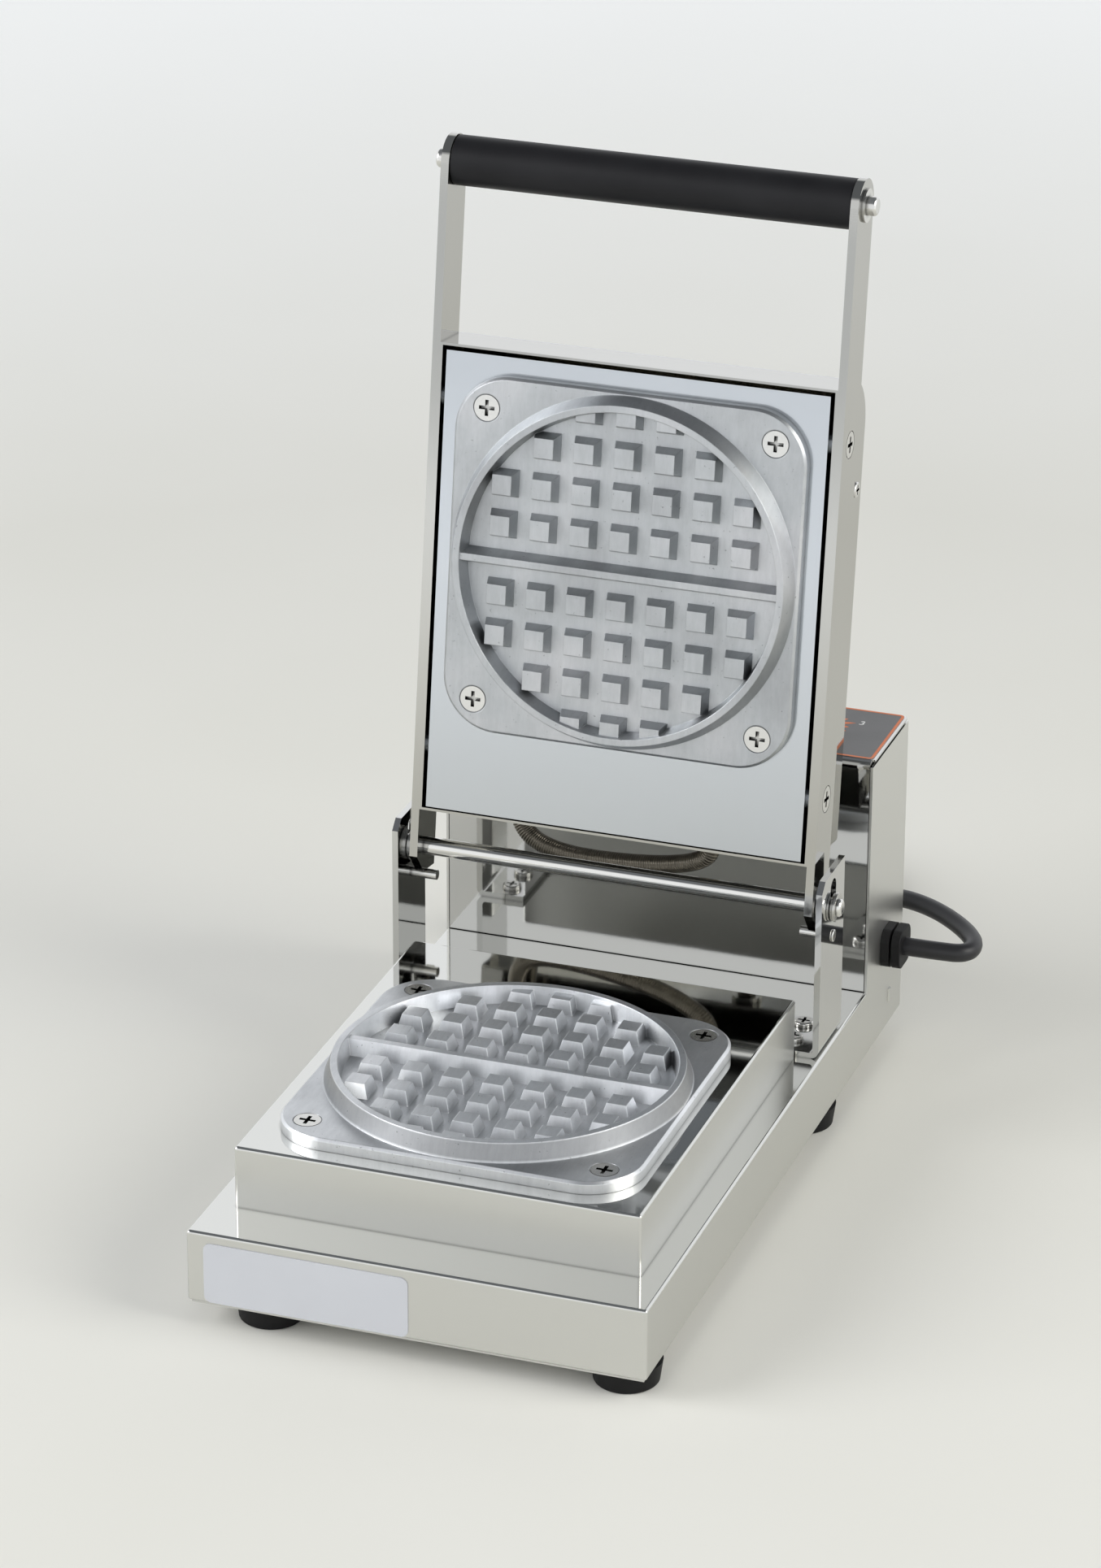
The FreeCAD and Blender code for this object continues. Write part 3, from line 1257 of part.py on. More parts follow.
tie.rotate(V(0, 0, 0), V(0, 0, 1), tie_angle)
tie.translate(V(coil_x, coil_y, 0))
save("cord_tie", tie)

# Short lead from the coil to the plug that lies beside it
lead_points = [
    coil_end,
    coil_end + V(-16.0, 0, 0),
    coil_end + V(-34.0, -3.0, -1.5),
    coil_end + V(-48.0, -7.0, -1.5),
]
lead_path = bent_path(lead_points, "plug_lead")
save("plug_lead", tube(lead_path, coil_end, along_floor, cord_radius, "plug_lead"))

# Plug modelled at zero with its pins along -X, then turned to follow the lead
plug_heading = unit(lead_points[3] - lead_points[2])
plug_turn = math.degrees(math.atan2(-plug_heading.y, -plug_heading.x))
plug_face_x = -relief_length - plug_length
relief = Part.makeCone(cord_radius + relief_wall, cord_radius + relief_wall + relief_flare, relief_length,
                       V(0, 0, 0), V(-1, 0, 0))
plug_body = block(plug_face_x, -relief_length, -plug_width / 2, plug_width / 2,
                  -plug_height / 2, plug_height / 2)
plug_body = rounded(plug_body, plug_edge_radius, lambda c: not near(c.x, plug_face_x))
pins = []
for side in (-1, 1):
    y = side * blade_half_gap
    pins.append(block(plug_face_x - blade_length, plug_face_x + blade_root,
                      y - blade_half_thickness, y + blade_half_thickness,
                      blade_rise - blade_half_width, blade_rise + blade_half_width))
earth_hole = bar_x(plug_face_x - 1, plug_face_x + blade_root, 0, -earth_drop, earth_radius + screw_gap)
plug = relief.fuse(plug_body).cut(Part.makeCompound(pins + [earth_hole]))
pins.append(bar_x(plug_face_x - blade_length - earth_overlength, plug_face_x + blade_root,
                  0, -earth_drop, earth_radius))
for piece in [plug] + pins:
    piece.rotate(V(0, 0, 0), upward, plug_turn)
    piece.translate(lead_points[3])
save("power_plug", plug)
save("plug_blades", *pins)

# Conduit from an elbow on the box front round to a gland on the hinge end of the lid
lid_gland = bar_y(conduit_lid_x, lid_back_y, lid_back_y + gland_length, conduit_lid_z, gland_radius)
lid_gland = lid_gland.fuse(bar_y(conduit_lid_x, lid_back_y - sheet - gland_thread, lid_back_y,
                                 conduit_lid_z, gland_thread_radius - screw_gap))
save_lid("conduit_lid_gland", lid_gland)
elbow_top_z = elbow_z + elbow_branch_radius
elbow = bar_z(conduit_box_x, conduit_box_y, conduit_box_z, elbow_top_z, elbow_radius)
elbow = rounded(elbow, elbow_edge_radius, lambda c: near(c.z, elbow_top_z))
elbow = elbow.multiFuse([
    bar_y(conduit_box_x, conduit_box_y, box_front_y, elbow_z, elbow_branch_radius),
    bar_y(conduit_box_x, conduit_box_y, box_front_y + sheet + gland_thread, elbow_z,
          gland_thread_radius - screw_gap),
])
save("conduit_elbow", elbow)

gland_face = opened(Part.Vertex(V(conduit_lid_x, lid_back_y + gland_length, conduit_lid_z))).Point
gland_inside = opened(Part.Vertex(V(conduit_lid_x, lid_back_y, conduit_lid_z))).Point
gland_axis = unit(gland_face - gland_inside)
elbow_face = V(conduit_box_x, conduit_box_y, conduit_box_z)


def loop_point(across, back, height):
    """Point of the conduit's loop: shares of the way from gland to elbow, height above the lowest point."""
    x = gland_face.x + across * (elbow_face.x - gland_face.x)
    y = gland_face.y + back * (elbow_face.y - gland_face.y)
    return V(x, y, conduit_low_z + height)


conduit_points = [
    gland_face,
    gland_face + gland_axis * conduit_end_run,
    loop_point(0.07, 0.0, 11.7),
    loop_point(0.23, 0.17, 5.6),
    loop_point(0.49, 0.33, 1.4),
    loop_point(0.74, 0.49, 0.0),
    loop_point(0.91, 0.68, 3.4),
    loop_point(0.99, 0.87, 14.2),
    elbow_face - V(0, 0, conduit_end_run),
    elbow_face,
]
conduit_path = bent_path(conduit_points, "conduit")


def ring_at(points, place, radius):
    """Circle across the conduit at a place along its sampled centre line, X axis kept steady."""
    index = min(int(place), len(points) - 2)
    part = place - index
    centre = points[index] * (1 - part) + points[index + 1] * part
    low = max(index - 1, 0)
    high = min(index + 2, len(points) - 1)
    heading = unit(points[high] - points[low])
    if index == 0:
        heading = gland_axis
    if index >= len(points) - 2:
        heading = upward
    side = unit(heading.cross(V(0, 1, 0)))
    turn = FreeCAD.Rotation(side, heading.cross(side), heading, "ZXY")
    ring = Part.Wire(Part.makeCircle(radius))
    ring.Placement = FreeCAD.Placement(centre, turn)
    return ring


rib_count = int(conduit_path.Length / conduit_rib_pitch)
line = conduit_path.discretize(4 * rib_count + 1)
rib_radii = (conduit_root_radius, conduit_radius, conduit_radius, conduit_root_radius)
rings = [ring_at(line, k, rib_radii[k % 4]) for k in range(4 * rib_count + 1)]
outside = Part.makeLoft(rings, True, True)
bore_rings = [ring_at(line, k, conduit_bore_radius) for k in range(0, 4 * rib_count + 1, 4)]
bore = Part.makeLoft(bore_rings, True, True)
conduit = outside.cut(bore)
print("conduit length %.1f ribs %d" % (conduit_path.Length, rib_count))
save("conduit", conduit)
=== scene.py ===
import json
import math
import bpy
import numpy as np
from mathutils import Matrix, Vector


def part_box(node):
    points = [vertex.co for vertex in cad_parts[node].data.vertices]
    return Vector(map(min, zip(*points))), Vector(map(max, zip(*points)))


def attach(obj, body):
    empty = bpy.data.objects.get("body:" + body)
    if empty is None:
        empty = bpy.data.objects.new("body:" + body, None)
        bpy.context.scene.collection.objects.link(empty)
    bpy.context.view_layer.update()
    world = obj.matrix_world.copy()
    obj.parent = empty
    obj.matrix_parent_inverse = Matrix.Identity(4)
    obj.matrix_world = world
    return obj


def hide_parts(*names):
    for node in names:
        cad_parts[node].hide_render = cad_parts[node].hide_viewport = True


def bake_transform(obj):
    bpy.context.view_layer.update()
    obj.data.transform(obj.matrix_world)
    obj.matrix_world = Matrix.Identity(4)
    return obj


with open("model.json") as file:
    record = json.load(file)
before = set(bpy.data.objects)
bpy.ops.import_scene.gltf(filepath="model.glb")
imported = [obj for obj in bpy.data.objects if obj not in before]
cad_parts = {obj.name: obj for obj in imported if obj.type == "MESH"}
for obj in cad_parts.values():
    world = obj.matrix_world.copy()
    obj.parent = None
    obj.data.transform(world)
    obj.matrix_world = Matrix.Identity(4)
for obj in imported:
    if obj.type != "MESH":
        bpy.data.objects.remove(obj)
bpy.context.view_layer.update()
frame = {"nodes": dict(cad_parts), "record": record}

# Sizes below are in millimetres in the CAD frame; meshes are written in metres
MM = 0.001

# Camera that took the photograph: place, angles and focal length from a fit to its straight edges
image_height = 1929.0
focal_pixels = 7003.36
camera_place = np.array([797.6, -2285.4, 1280.5])
camera_azimuth = math.radians(19.38)
camera_elevation = math.radians(24.02)
camera_roll = math.radians(0.21)


def place_camera():
    """Camera axes: looking along the azimuth and down by the elevation, then rolled about that line."""
    look = np.array([
        -math.sin(camera_azimuth) * math.cos(camera_elevation),
        math.cos(camera_azimuth) * math.cos(camera_elevation),
        -math.sin(camera_elevation),
    ])
    level = np.array([math.cos(camera_azimuth), math.sin(camera_azimuth), 0.0])
    above = np.cross(level, look)
    right = math.cos(camera_roll) * level + math.sin(camera_roll) * above
    up = math.cos(camera_roll) * above - math.sin(camera_roll) * level
    data = bpy.data.cameras.new("photo_camera")
    data.sensor_fit = "VERTICAL"
    data.sensor_height = 36.0
    data.lens = focal_pixels / image_height * data.sensor_height
    data.clip_end = 50.0
    camera = bpy.data.objects.new("photo_camera", data)
    turn = np.column_stack([right, up, -look])
    camera.matrix_world = Matrix.Translation(camera_place * MM) @ Matrix(turn.tolist()).to_4x4()
    bpy.context.collection.objects.link(camera)
    bpy.context.scene.camera = camera


place_camera()


# Colours and shader nodes
def linear(code):
    """sRGB hex colour as linear RGBA."""
    values = [int(code[k:k + 2], 16) / 255 for k in (1, 3, 5)]
    return [v / 12.92 if v <= 0.04045 else ((v + 0.055) / 1.055) ** 2.4 for v in values] + [1.0]


black = linear("#000000")
white = linear("#ffffff")


def per_mm(size):
    """Texture scale for a feature of that size in millimetres, object coordinates being metres."""
    return 1.0 / (size * MM)


def add(tree, kind, output=0, stops=(), **settings):
    """Adds one shader node and returns one of its outputs. A setting is a socket to link, a socket's value
    or a property of the node; stops are the positions and colours of a colour ramp."""
    node = tree.nodes.new(kind)
    for name, value in settings.items():
        socket = node.inputs.get(name.replace("_", " "))
        if socket is None:
            setattr(node, name, value)
        elif isinstance(value, bpy.types.NodeSocket):
            tree.links.new(value, socket)
        else:
            socket.default_value = value
    for _ in stops[2:]:
        node.color_ramp.elements.new(0.5)
    for k, (position, colour) in enumerate(stops):
        node.color_ramp.elements[k].position = position
        node.color_ramp.elements[k].color = colour
    return node.outputs[output] if node.outputs else None


def new_material(name):
    """Empty node material; returns it, its tree and the object coordinates."""
    material = bpy.data.materials.new(name)
    material.use_nodes = True
    tree = material.node_tree
    tree.nodes.clear()
    return material, tree, add(tree, "ShaderNodeTexCoord", output="Object")


def close_material(tree, **settings):
    """Ends a material with the principled shader and the output."""
    surface = add(tree, "ShaderNodeBsdfPrincipled", **settings)
    add(tree, "ShaderNodeOutputMaterial", Surface=surface)


def painted_corner_shade(tree, colour, reach, low, closed=0.0):
    """Painted shade: colour that falls to a low share of itself where walls nearer than reach, in mm, keep
    the light out:
    low where the open share is at most closed, and the full colour where three quarters are open."""
    open_share = add(tree, "ShaderNodeAmbientOcclusion", output="AO", samples=8, Distance=reach * MM)
    share = add(tree, "ShaderNodeMapRange", Value=open_share, From_Min=closed, From_Max=0.75,
                To_Min=low, To_Max=1.0)
    return add(tree, "ShaderNodeMixRGB", Fac=share, Color1=black, Color2=colour)


def painted_shade_on_ring(tree, place, colour, ring):
    """Colour darkened by painted shade between two radii about an upright axis; ring gives the axis, the
    radii in mm and the painted shade's colour."""
    axis_x, axis_y, inner, outer, shade = ring
    level = add(tree, "ShaderNodeMapping", Vector=place, Location=(-axis_x * MM, -axis_y * MM, 0.0),
                Scale=(1.0, 1.0, 0.0))
    away = add(tree, "ShaderNodeVectorMath", output="Value", operation="LENGTH", Vector=level)
    across = add(tree, "ShaderNodeMapRange", Value=away, From_Min=inner * MM, From_Max=outer * MM)
    painted_shade_colour = linear(shade)
    share = add(tree, "ShaderNodeValToRGB", Fac=across,
                stops=[(0.0, white), (0.08, painted_shade_colour), (0.85, painted_shade_colour), (1.0, white)])
    return add(tree, "ShaderNodeMixRGB", Fac=share, Color1=black, Color2=colour)


def stainless_sheet(name, colour, rough_low, rough_high, side_rough=None):
    """Stainless sheet: a mirror with fine polishing lines along the sheet, a slow waviness, wiped smudges
    and painted shade in its joints and corners. With side_rough, only faces that look up or down are
    polished, and upright ones are satin."""
    line_width = 0.8
    line_depth = 0.03
    smudge_width = 38.0
    wave_depth = 0.4
    painted_joint_shade_reach = 3.0
    material, tree, place = new_material(name)
    facing = add(tree, "ShaderNodeTexCoord", output="Normal")
    facing_x = add(tree, "ShaderNodeSeparateXYZ", output="X", Vector=facing)
    facing_z = add(tree, "ShaderNodeSeparateXYZ", output="Z", Vector=facing)
    along_x = add(tree, "ShaderNodeMapping", Vector=place, Scale=(0.05, 1.0, 1.0))
    along_y = add(tree, "ShaderNodeMapping", Vector=place, Scale=(1.0, 0.05, 1.0))
    sideways = add(tree, "ShaderNodeMath", operation="ABSOLUTE", Value=facing_x)
    drawn = add(tree, "ShaderNodeMixRGB", Fac=sideways, Color1=along_x, Color2=along_y)
    lines = add(tree, "ShaderNodeTexNoise", Vector=drawn, Scale=per_mm(line_width), Detail=2.0)
    smudge = add(tree, "ShaderNodeTexNoise", Vector=place, Scale=per_mm(smudge_width), Detail=4.0,
                 Roughness=0.6)
    rough = add(tree, "ShaderNodeMapRange", Value=smudge, To_Min=rough_low, To_Max=rough_high)
    if side_rough is not None:
        lying = add(tree, "ShaderNodeMath", operation="ABSOLUTE", Value=facing_z)
        rough = add(tree, "ShaderNodeMapRange", Value=lying, From_Min=0.3, From_Max=0.7,
                    To_Min=side_rough, To_Max=rough)
    wave = add(tree, "ShaderNodeBump", Height=smudge, Strength=0.04, Distance=wave_depth * MM)
    grain = add(tree, "ShaderNodeBump", Height=lines, Strength=0.02, Distance=line_depth * MM, Normal=wave)
    # Painted shade: the colour darkens in the sheet's joints and corners
    tone = painted_corner_shade(tree, linear(colour), painted_joint_shade_reach, 0.25)
    close_material(tree, Base_Color=tone, Metallic=1.0, Roughness=rough, Normal=grain)
    return material


def cast_aluminium(name, stained, plain, worn, reach, ring=None):
    """Cast and lightly machined aluminium: pale grey with broad stains, short streaks and a few dark pits,
    a sandy skin and worn, slightly rounded edges, with painted shade in its corners. A ring gets painted
    shade."""
    stain_width = 45.0
    streak_width = 2.2
    pit_width = 1.6
    skin_grain = 0.8
    skin_depth = 0.1
    edge_radius = 0.6
    material, tree, place = new_material(name)
    stain = add(tree, "ShaderNodeTexNoise", Vector=place, Scale=per_mm(stain_width), Detail=5.0,
                Roughness=0.6)
    drawn = add(tree, "ShaderNodeMapping", Vector=place, Scale=(1.0, 0.2, 0.2))
    streak = add(tree, "ShaderNodeTexNoise", Vector=drawn, Scale=per_mm(streak_width), Detail=4.0,
                 Roughness=0.7)
    pit = add(tree, "ShaderNodeTexNoise", Vector=place, Scale=per_mm(pit_width), Detail=2.0)
    skin = add(tree, "ShaderNodeTexNoise", Vector=place, Scale=per_mm(skin_grain), Detail=3.0)
    broad = add(tree, "ShaderNodeValToRGB", Fac=stain,
                stops=[(0.3, linear(stained)), (0.5, linear(plain)), (0.7, linear(worn))])
    fine = add(tree, "ShaderNodeMapRange", Value=streak, To_Min=0.82, To_Max=1.06)
    pitted = add(tree, "ShaderNodeMapRange", Value=pit, From_Min=0.70, From_Max=0.76,
                 To_Min=1.0, To_Max=0.6)
    streaked = add(tree, "ShaderNodeMixRGB", Fac=fine, Color1=black, Color2=broad)
    tone = add(tree, "ShaderNodeMixRGB", Fac=pitted, Color1=black, Color2=streaked)
    # Painted shade: the colour darkens in corners and crevices
    tone = painted_corner_shade(tree, tone, reach, 0.4)
    # Painted shade darkens the rim's outer wall
    if ring is not None:
        tone = painted_shade_on_ring(tree, place, tone, ring)
    rough = add(tree, "ShaderNodeMapRange", Value=streak, To_Min=0.44, To_Max=0.32)
    edge = add(tree, "ShaderNodeBevel", samples=4, Radius=edge_radius * MM)
    normal = add(tree, "ShaderNodeBump", Height=skin, Strength=0.1, Distance=skin_depth * MM, Normal=edge)
    close_material(tree, Base_Color=tone, Metallic=1.0, Roughness=rough, Normal=normal)
    return material


def plain_steel(name, colour, roughness):
    """Turned or plated steel parts: bright with fine turning marks and painted shade in their recesses."""
    mark_width = 0.9
    mark_depth = 0.05
    painted_recess_shade_reach = 3.5
    material, tree, place = new_material(name)
    marks = add(tree, "ShaderNodeTexNoise", Vector=place, Scale=per_mm(mark_width), Detail=3.0)
    rough = add(tree, "ShaderNodeMapRange", Value=marks, To_Min=roughness - 0.05, To_Max=roughness + 0.07)
    normal = add(tree, "ShaderNodeBump", Height=marks, Strength=0.05, Distance=mark_depth * MM)
    # Painted shade: recesses such as screw crosses go nearly black
    tone = painted_corner_shade(tree, linear(colour), painted_recess_shade_reach, 0.04, closed=0.35)
    close_material(tree, Base_Color=tone, Metallic=1.0, Roughness=rough, Normal=normal)
    return material


def moulded(name, colour, roughness, grain_width, grain_depth, gloss=0.4, cloudy=1.25):
    """Moulded plastic or rubber: even colour with a slight cloud and a fine moulded grain."""
    cloud_width = 25.0
    cloud_lift = 0.002
    material, tree, place = new_material(name)
    cloud = add(tree, "ShaderNodeTexNoise", Vector=place, Scale=per_mm(cloud_width), Detail=3.0)
    grain = add(tree, "ShaderNodeTexNoise", Vector=place, Scale=per_mm(grain_width), Detail=2.0)
    base = linear(colour)
    lighter = [min(1.0, cloudy * v + cloud_lift) for v in base[:3]] + [1.0]
    tone = add(tree, "ShaderNodeValToRGB", Fac=cloud, stops=[(0.3, base), (0.8, lighter)])
    rough = add(tree, "ShaderNodeMapRange", Value=cloud, To_Min=roughness - 0.05, To_Max=roughness + 0.05)
    normal = add(tree, "ShaderNodeBump", Height=grain, Strength=0.15, Distance=grain_depth * MM)
    close_material(tree, Base_Color=tone, Roughness=rough, Normal=normal, Specular_IOR_Level=gloss)
    return material


def mineral_wool():
    """Felted mineral wool: matt, with fibres a few tenths of a millimetre thick, drawn coarse enough
    to show."""
    fibre_width = 1.5
    fibre_depth = 0.8
    material, tree, place = new_material("mineral_wool")
    fibre = add(tree, "ShaderNodeTexNoise", Vector=place, Scale=per_mm(fibre_width), Detail=6.0,
                Distortion=1.5)
    tone = add(tree, "ShaderNodeValToRGB", Fac=fibre,
               stops=[(0.3, linear("#a59c80")), (0.7, linear("#d4cbb0"))])
    normal = add(tree, "ShaderNodeBump", Height=fibre, Strength=0.6, Distance=fibre_depth * MM)
    close_material(tree, Base_Color=tone, Roughness=0.95, Normal=normal)
    return material


# Outer wall of the lower casting's rim, from the edge of its flat top to its foot, with its painted shade
plate_low, plate_high = (np.array(corner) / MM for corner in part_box("lower_waffle_plate"))
plate_centre = (plate_low + plate_high) / 2
rim_margin = 1.55
rim_slope = 3.4
rim_foot = (plate_high[0] - plate_low[0]) / 2 - rim_margin
painted_rim_wall_shade = (plate_centre[0], plate_centre[1], rim_foot - rim_slope, rim_foot, "#b4b4b4")

# Stainless sheets, each with its least and greatest roughness: mirror polish, mirror polish with satin
# sides, the lid's warmer sheet, the buffed face
stainless = stainless_sheet("polished_stainless", "#d0d0ce", 0.03, 0.07)
satin_sided = stainless_sheet("polished_stainless_satin_sides", "#d6d6d2", 0.03, 0.07, 0.34)
lid_sheet = stainless_sheet("lid_stainless", "#bab9b4", 0.03, 0.07)
lid_face = stainless_sheet("buffed_stainless", "#c6cace", 0.12, 0.2)

# Castings, each with its stained, plain and worn shades and how far in mm its corners darken with painted
# shade: the upper one is darker than the lower one, whose lighter shades are painted light
aluminium = cast_aluminium("cast_aluminium", "#afb1b3", "#bcbfc1", "#c9cacc", 4.0)
lit_lower_aluminium = cast_aluminium("cast_aluminium_lower_lit", "#d4d6d8", "#e2e4e6", "#eff0f2", 10.0, painted_rim_wall_shade)

# Steel and brass, each with its roughness: turned, ground, wound from strip, heat-stained and plated
hardware = plain_steel("turned_steel", "#d9d8d4", 0.22)
rod_steel = plain_steel("ground_steel_rod", "#e0dfdb", 0.09)
conduit_steel = plain_steel("wound_steel_strip", "#6f6a60", 0.3)
heater_steel = plain_steel("heater_sheath", "#6b6863", 0.5)
brass = plain_steel("plated_brass", "#d3c6a0", 0.25)

# Mouldings, films and prints, each with its roughness and its grain's width and depth in mm
grip_plastic = moulded("phenolic_grip", "#18181a", 0.45, 0.6, 0.03, gloss=0.18)
black_plastic = moulded("black_moulding", "#161617", 0.42, 0.5, 0.04)
rubber = moulded("black_rubber", "#0d0d0e", 0.55, 0.6, 0.05, gloss=0.25)
cord_rubber = moulded("cord_sheath", "#232325", 0.42, 0.6, 0.04)
film = moulded("grey_overlay_film", "#6f6f70", 0.5, 0.4, 0.02)
print_orange = moulded("orange_print", "#d97b4e", 0.5, 0.4, 0.02)
print_white = moulded("white_print", "#e4e4e2", 0.5, 0.4, 0.02)
badge_white = moulded("white_badge_plate", "#c6c8cd", 0.3, 0.8, 0.02, cloudy=1.03)
rocker_red = moulded("red_rocker", "#a01818", 0.3, 0.6, 0.02)
lamp_green = moulded("green_lens", "#2f8a45", 0.15, 0.8, 0.02)
lamp_orange = moulded("orange_lens", "#e07a22", 0.15, 0.8, 0.02)
wool = mineral_wool()

finish_of_slot = {
    "polished_stainless": stainless,
    "cast_aluminium": aluminium,
    "steel_hardware": hardware,
    "black_plastic": black_plastic,
    "black_rubber": rubber,
    "printed_overlay": film,
    "white_badge": badge_white,
    "red_rocker": rocker_red,
    "green_lamp": lamp_green,
    "orange_lamp": lamp_orange,
    "heater_sheath": heater_steel,
    "mineral_wool": wool,
    "phenolic_grip": grip_plastic,
    "brass_pins": brass,
    "conduit_steel": conduit_steel,
}
finish_of_node = {
    "hinge_rod": rod_steel,
    "lid_shell": lid_sheet,
    "arm_left": lid_sheet,
    "arm_right": lid_sheet,
    "lid_face_plate": lid_face,
    "lower_case": satin_sided,
    "lower_waffle_plate": lit_lower_aluminium,
    "chassis": satin_sided,
}
for part in frame["record"]["subparts"]:
    node = frame["nodes"][part["node"]]
    node.data.materials.clear()
    node.data.materials.append(finish_of_node.get(part["node"], finish_of_slot[part["material_slot"]]))


# Meshes from numpy grids
def grid_mesh(name, points, wrap, material, smooth=True):
    """Mesh from a grid of points (rows, columns, 3) in mm; wrap closes each row into a ring."""
    rows, columns = points.shape[:2]
    index = np.arange(rows * columns).reshape(rows, columns)
    if wrap:
        index = np.concatenate([index, index[:, :1]], axis=1)
    corners = np.stack([index[:-1, :-1], index[:-1, 1:], index[1:, 1:], index[1:, :-1]], axis=-1)
    mesh = bpy.data.meshes.new(name)
    mesh.from_pydata((points.reshape(-1, 3) * MM).tolist(), [], corners.reshape(-1, 4).tolist())
    mesh.materials.append(material)
    mesh.polygons.foreach_set("use_smooth", np.full(len(mesh.polygons), smooth))
    mesh.update()
    piece = bpy.data.objects.new(name, mesh)
    bpy.context.collection.objects.link(piece)
    return piece


def nurbs_curve(name, points):
    """Curve with one open NURBS spline whose control points are given in mm."""
    data = bpy.data.curves.new(name, "CURVE")
    data.dimensions = "3D"
    spline = data.splines.new("NURBS")
    spline.points.add(len(points) - 1)
    flat = np.column_stack([np.asarray(points) * MM, np.ones(len(points))])
    spline.points.foreach_set("co", flat.ravel())
    spline.order_u = 3
    spline.use_endpoint_u = True
    spline.resolution_u = 12
    return bpy.data.objects.new(name, data)


def curve_points(points):
    """Points along the NURBS spline of a route, in mm."""
    guide = nurbs_curve("guide", points)
    mesh = bpy.data.meshes.new_from_object(guide)
    found = np.empty(3 * len(mesh.vertices))
    mesh.vertices.foreach_get("co", found)
    bpy.data.meshes.remove(mesh)
    curve = guide.data
    bpy.data.objects.remove(guide)
    bpy.data.curves.remove(curve)
    return found.reshape(-1, 3) / MM


# Power cord: out of the bushing, folded back behind the box, down to the floor and into its coil
cord_radius = 4.6
cord_diameter = 2 * cord_radius
coil_centre = np.array([-6.0, 319.25])
coil_turns = 5
coil_mid_radius = 51.0
coil_gap = 0.6
room_for_tie = 2.1
coil_pitch = cord_diameter + coil_gap
coil_outer = coil_mid_radius + coil_turns * coil_pitch / 4
coil_low = cord_radius + room_for_tie
coil_near = coil_centre[1] - coil_outer
bushing = np.array([120.0, 170.6, 60.6])


def coil_route():
    """Coil control points, clockwise from the near side: the radius falls by one pitch a turn to the middle
    and grows again, and the height climbs one layer in the part of a turn where it reverses. The points
    stand outside the radius by as much as the spline cuts their corners."""
    points_per_turn = 16
    climbing_turns = 0.5
    near_side = math.radians(-90)
    turn = np.arange(1, points_per_turn * coil_turns) / points_per_turn
    middle = coil_turns / 2
    radius = coil_outer - coil_pitch * (middle - np.abs(turn - middle))
    radius = radius / math.cos(math.pi / points_per_turn)
    climb = np.clip((turn - middle) / climbing_turns + 0.5, 0, 1)
    height = coil_low + coil_pitch * climb * climb * (3 - 2 * climb)
    angle = near_side - 2 * math.pi * turn
    along_x = coil_centre[0] + radius * np.cos(angle)
    along_y = coil_centre[1] + radius * np.sin(angle)
    return np.column_stack([along_x, along_y, height])


coil_start = np.array([coil_centre[0] + cord_diameter, coil_near, coil_low])
coil_end = np.array([coil_centre[0] - cord_diameter, coil_near, coil_low + coil_pitch])
cord_route = np.vstack([
    bushing,
    [133.0, 170.6, 60.6],
    [152.5, 172.8, 60.2],
    [150.5, 192.0, 60.0],
    [124.0, 218.5, 59.8],
    [95.0, 235.0, 56.6],
    [73.0, 245.0, 44.6],
    [52.0, 252.0, 24.6],
    coil_start + [25.0, 0, 0],
    coil_start,
    coil_start - [cord_diameter, 0, 0],
    coil_route(),
    coil_end + [cord_diameter, 0, 0],
    coil_end,
    coil_end + [-16.0, 0, 0],
    coil_end + [-34.0, -3.0, -1.5],
    coil_end + [-48.0, -7.0, -1.5],
])
cord = nurbs_curve("power_cord_line", cord_route)
cord.data.bevel_depth = cord_radius * MM
cord.data.bevel_resolution = 6
cord.data.use_fill_caps = True
cord.data.materials.append(cord_rubber)
bpy.context.collection.objects.link(cord)
cord_line = curve_points(cord_route)
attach(cord, "base")
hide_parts("power_cord", "power_cord_coil", "plug_lead")


# Ribbed conduit between the box and the lid
conduit_route = np.array([
    [-70.0, 131.0, 148.0],
    [-70.0, 131.0, 138.7],
    [-68.9, 128.17, 122.0],
    [-60.15, 124.04, 111.2],
    [-41.53, 119.91, 107.8],
    [-14.16, 116.43, 109.2],
    [14.3, 112.96, 113.4],
    [31.8, 109.26, 119.5],
    [39.5, 107.95, 126.47],
    [39.5, 109.26, 135.68],
])
rib_pitch = 1.3
rib_crest = 4.6
rib_root = 4.05
crest_power = 0.6
rings_per_rib = 8
points_per_ring = 28


def ribbed_tube(name, line):
    """Tube along a line: its radius is the root plus the rib's height times a power of a sine's size, once
    each rib pitch, which gives a rounded crest and a narrow groove."""
    steps = np.linalg.norm(np.diff(line, axis=0), axis=1)
    along = np.concatenate([[0.0], np.cumsum(steps)])
    count = int(along[-1] / rib_pitch) * rings_per_rib + 1
    place = np.linspace(0.0, along[-1], count)
    centre = np.column_stack([np.interp(place, along, line[:, k]) for k in range(3)])
    heading = np.gradient(centre, axis=0)
    heading = heading / np.linalg.norm(heading, axis=1, keepdims=True)
    side = np.cross(heading, [0.0, 1.0, 0.0])
    side = side / np.linalg.norm(side, axis=1, keepdims=True)
    across = np.cross(heading, side)
    wave = np.abs(np.sin(np.pi * place / rib_pitch)) ** crest_power
    radius = rib_root + (rib_crest - rib_root) * wave
    angle = np.linspace(0.0, 2 * np.pi, points_per_ring, endpoint=False)[None, :, None]
    ring = np.cos(angle) * side[:, None, :] + np.sin(angle) * across[:, None, :]
    points = centre[:, None, :] + radius[:, None, None] * ring
    return grid_mesh(name, points, True, conduit_steel)


# Points of the line, cut in the middle into a half at the box's end and a half at the lid's end
conduit_line = curve_points(conduit_route)
split = len(conduit_line) // 2
box_half = ribbed_tube("conduit_box_half", conduit_line[:split + 1])
lid_half = ribbed_tube("conduit_lid_half", conduit_line[split:])
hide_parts("conduit")
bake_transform(box_half)
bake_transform(lid_half)


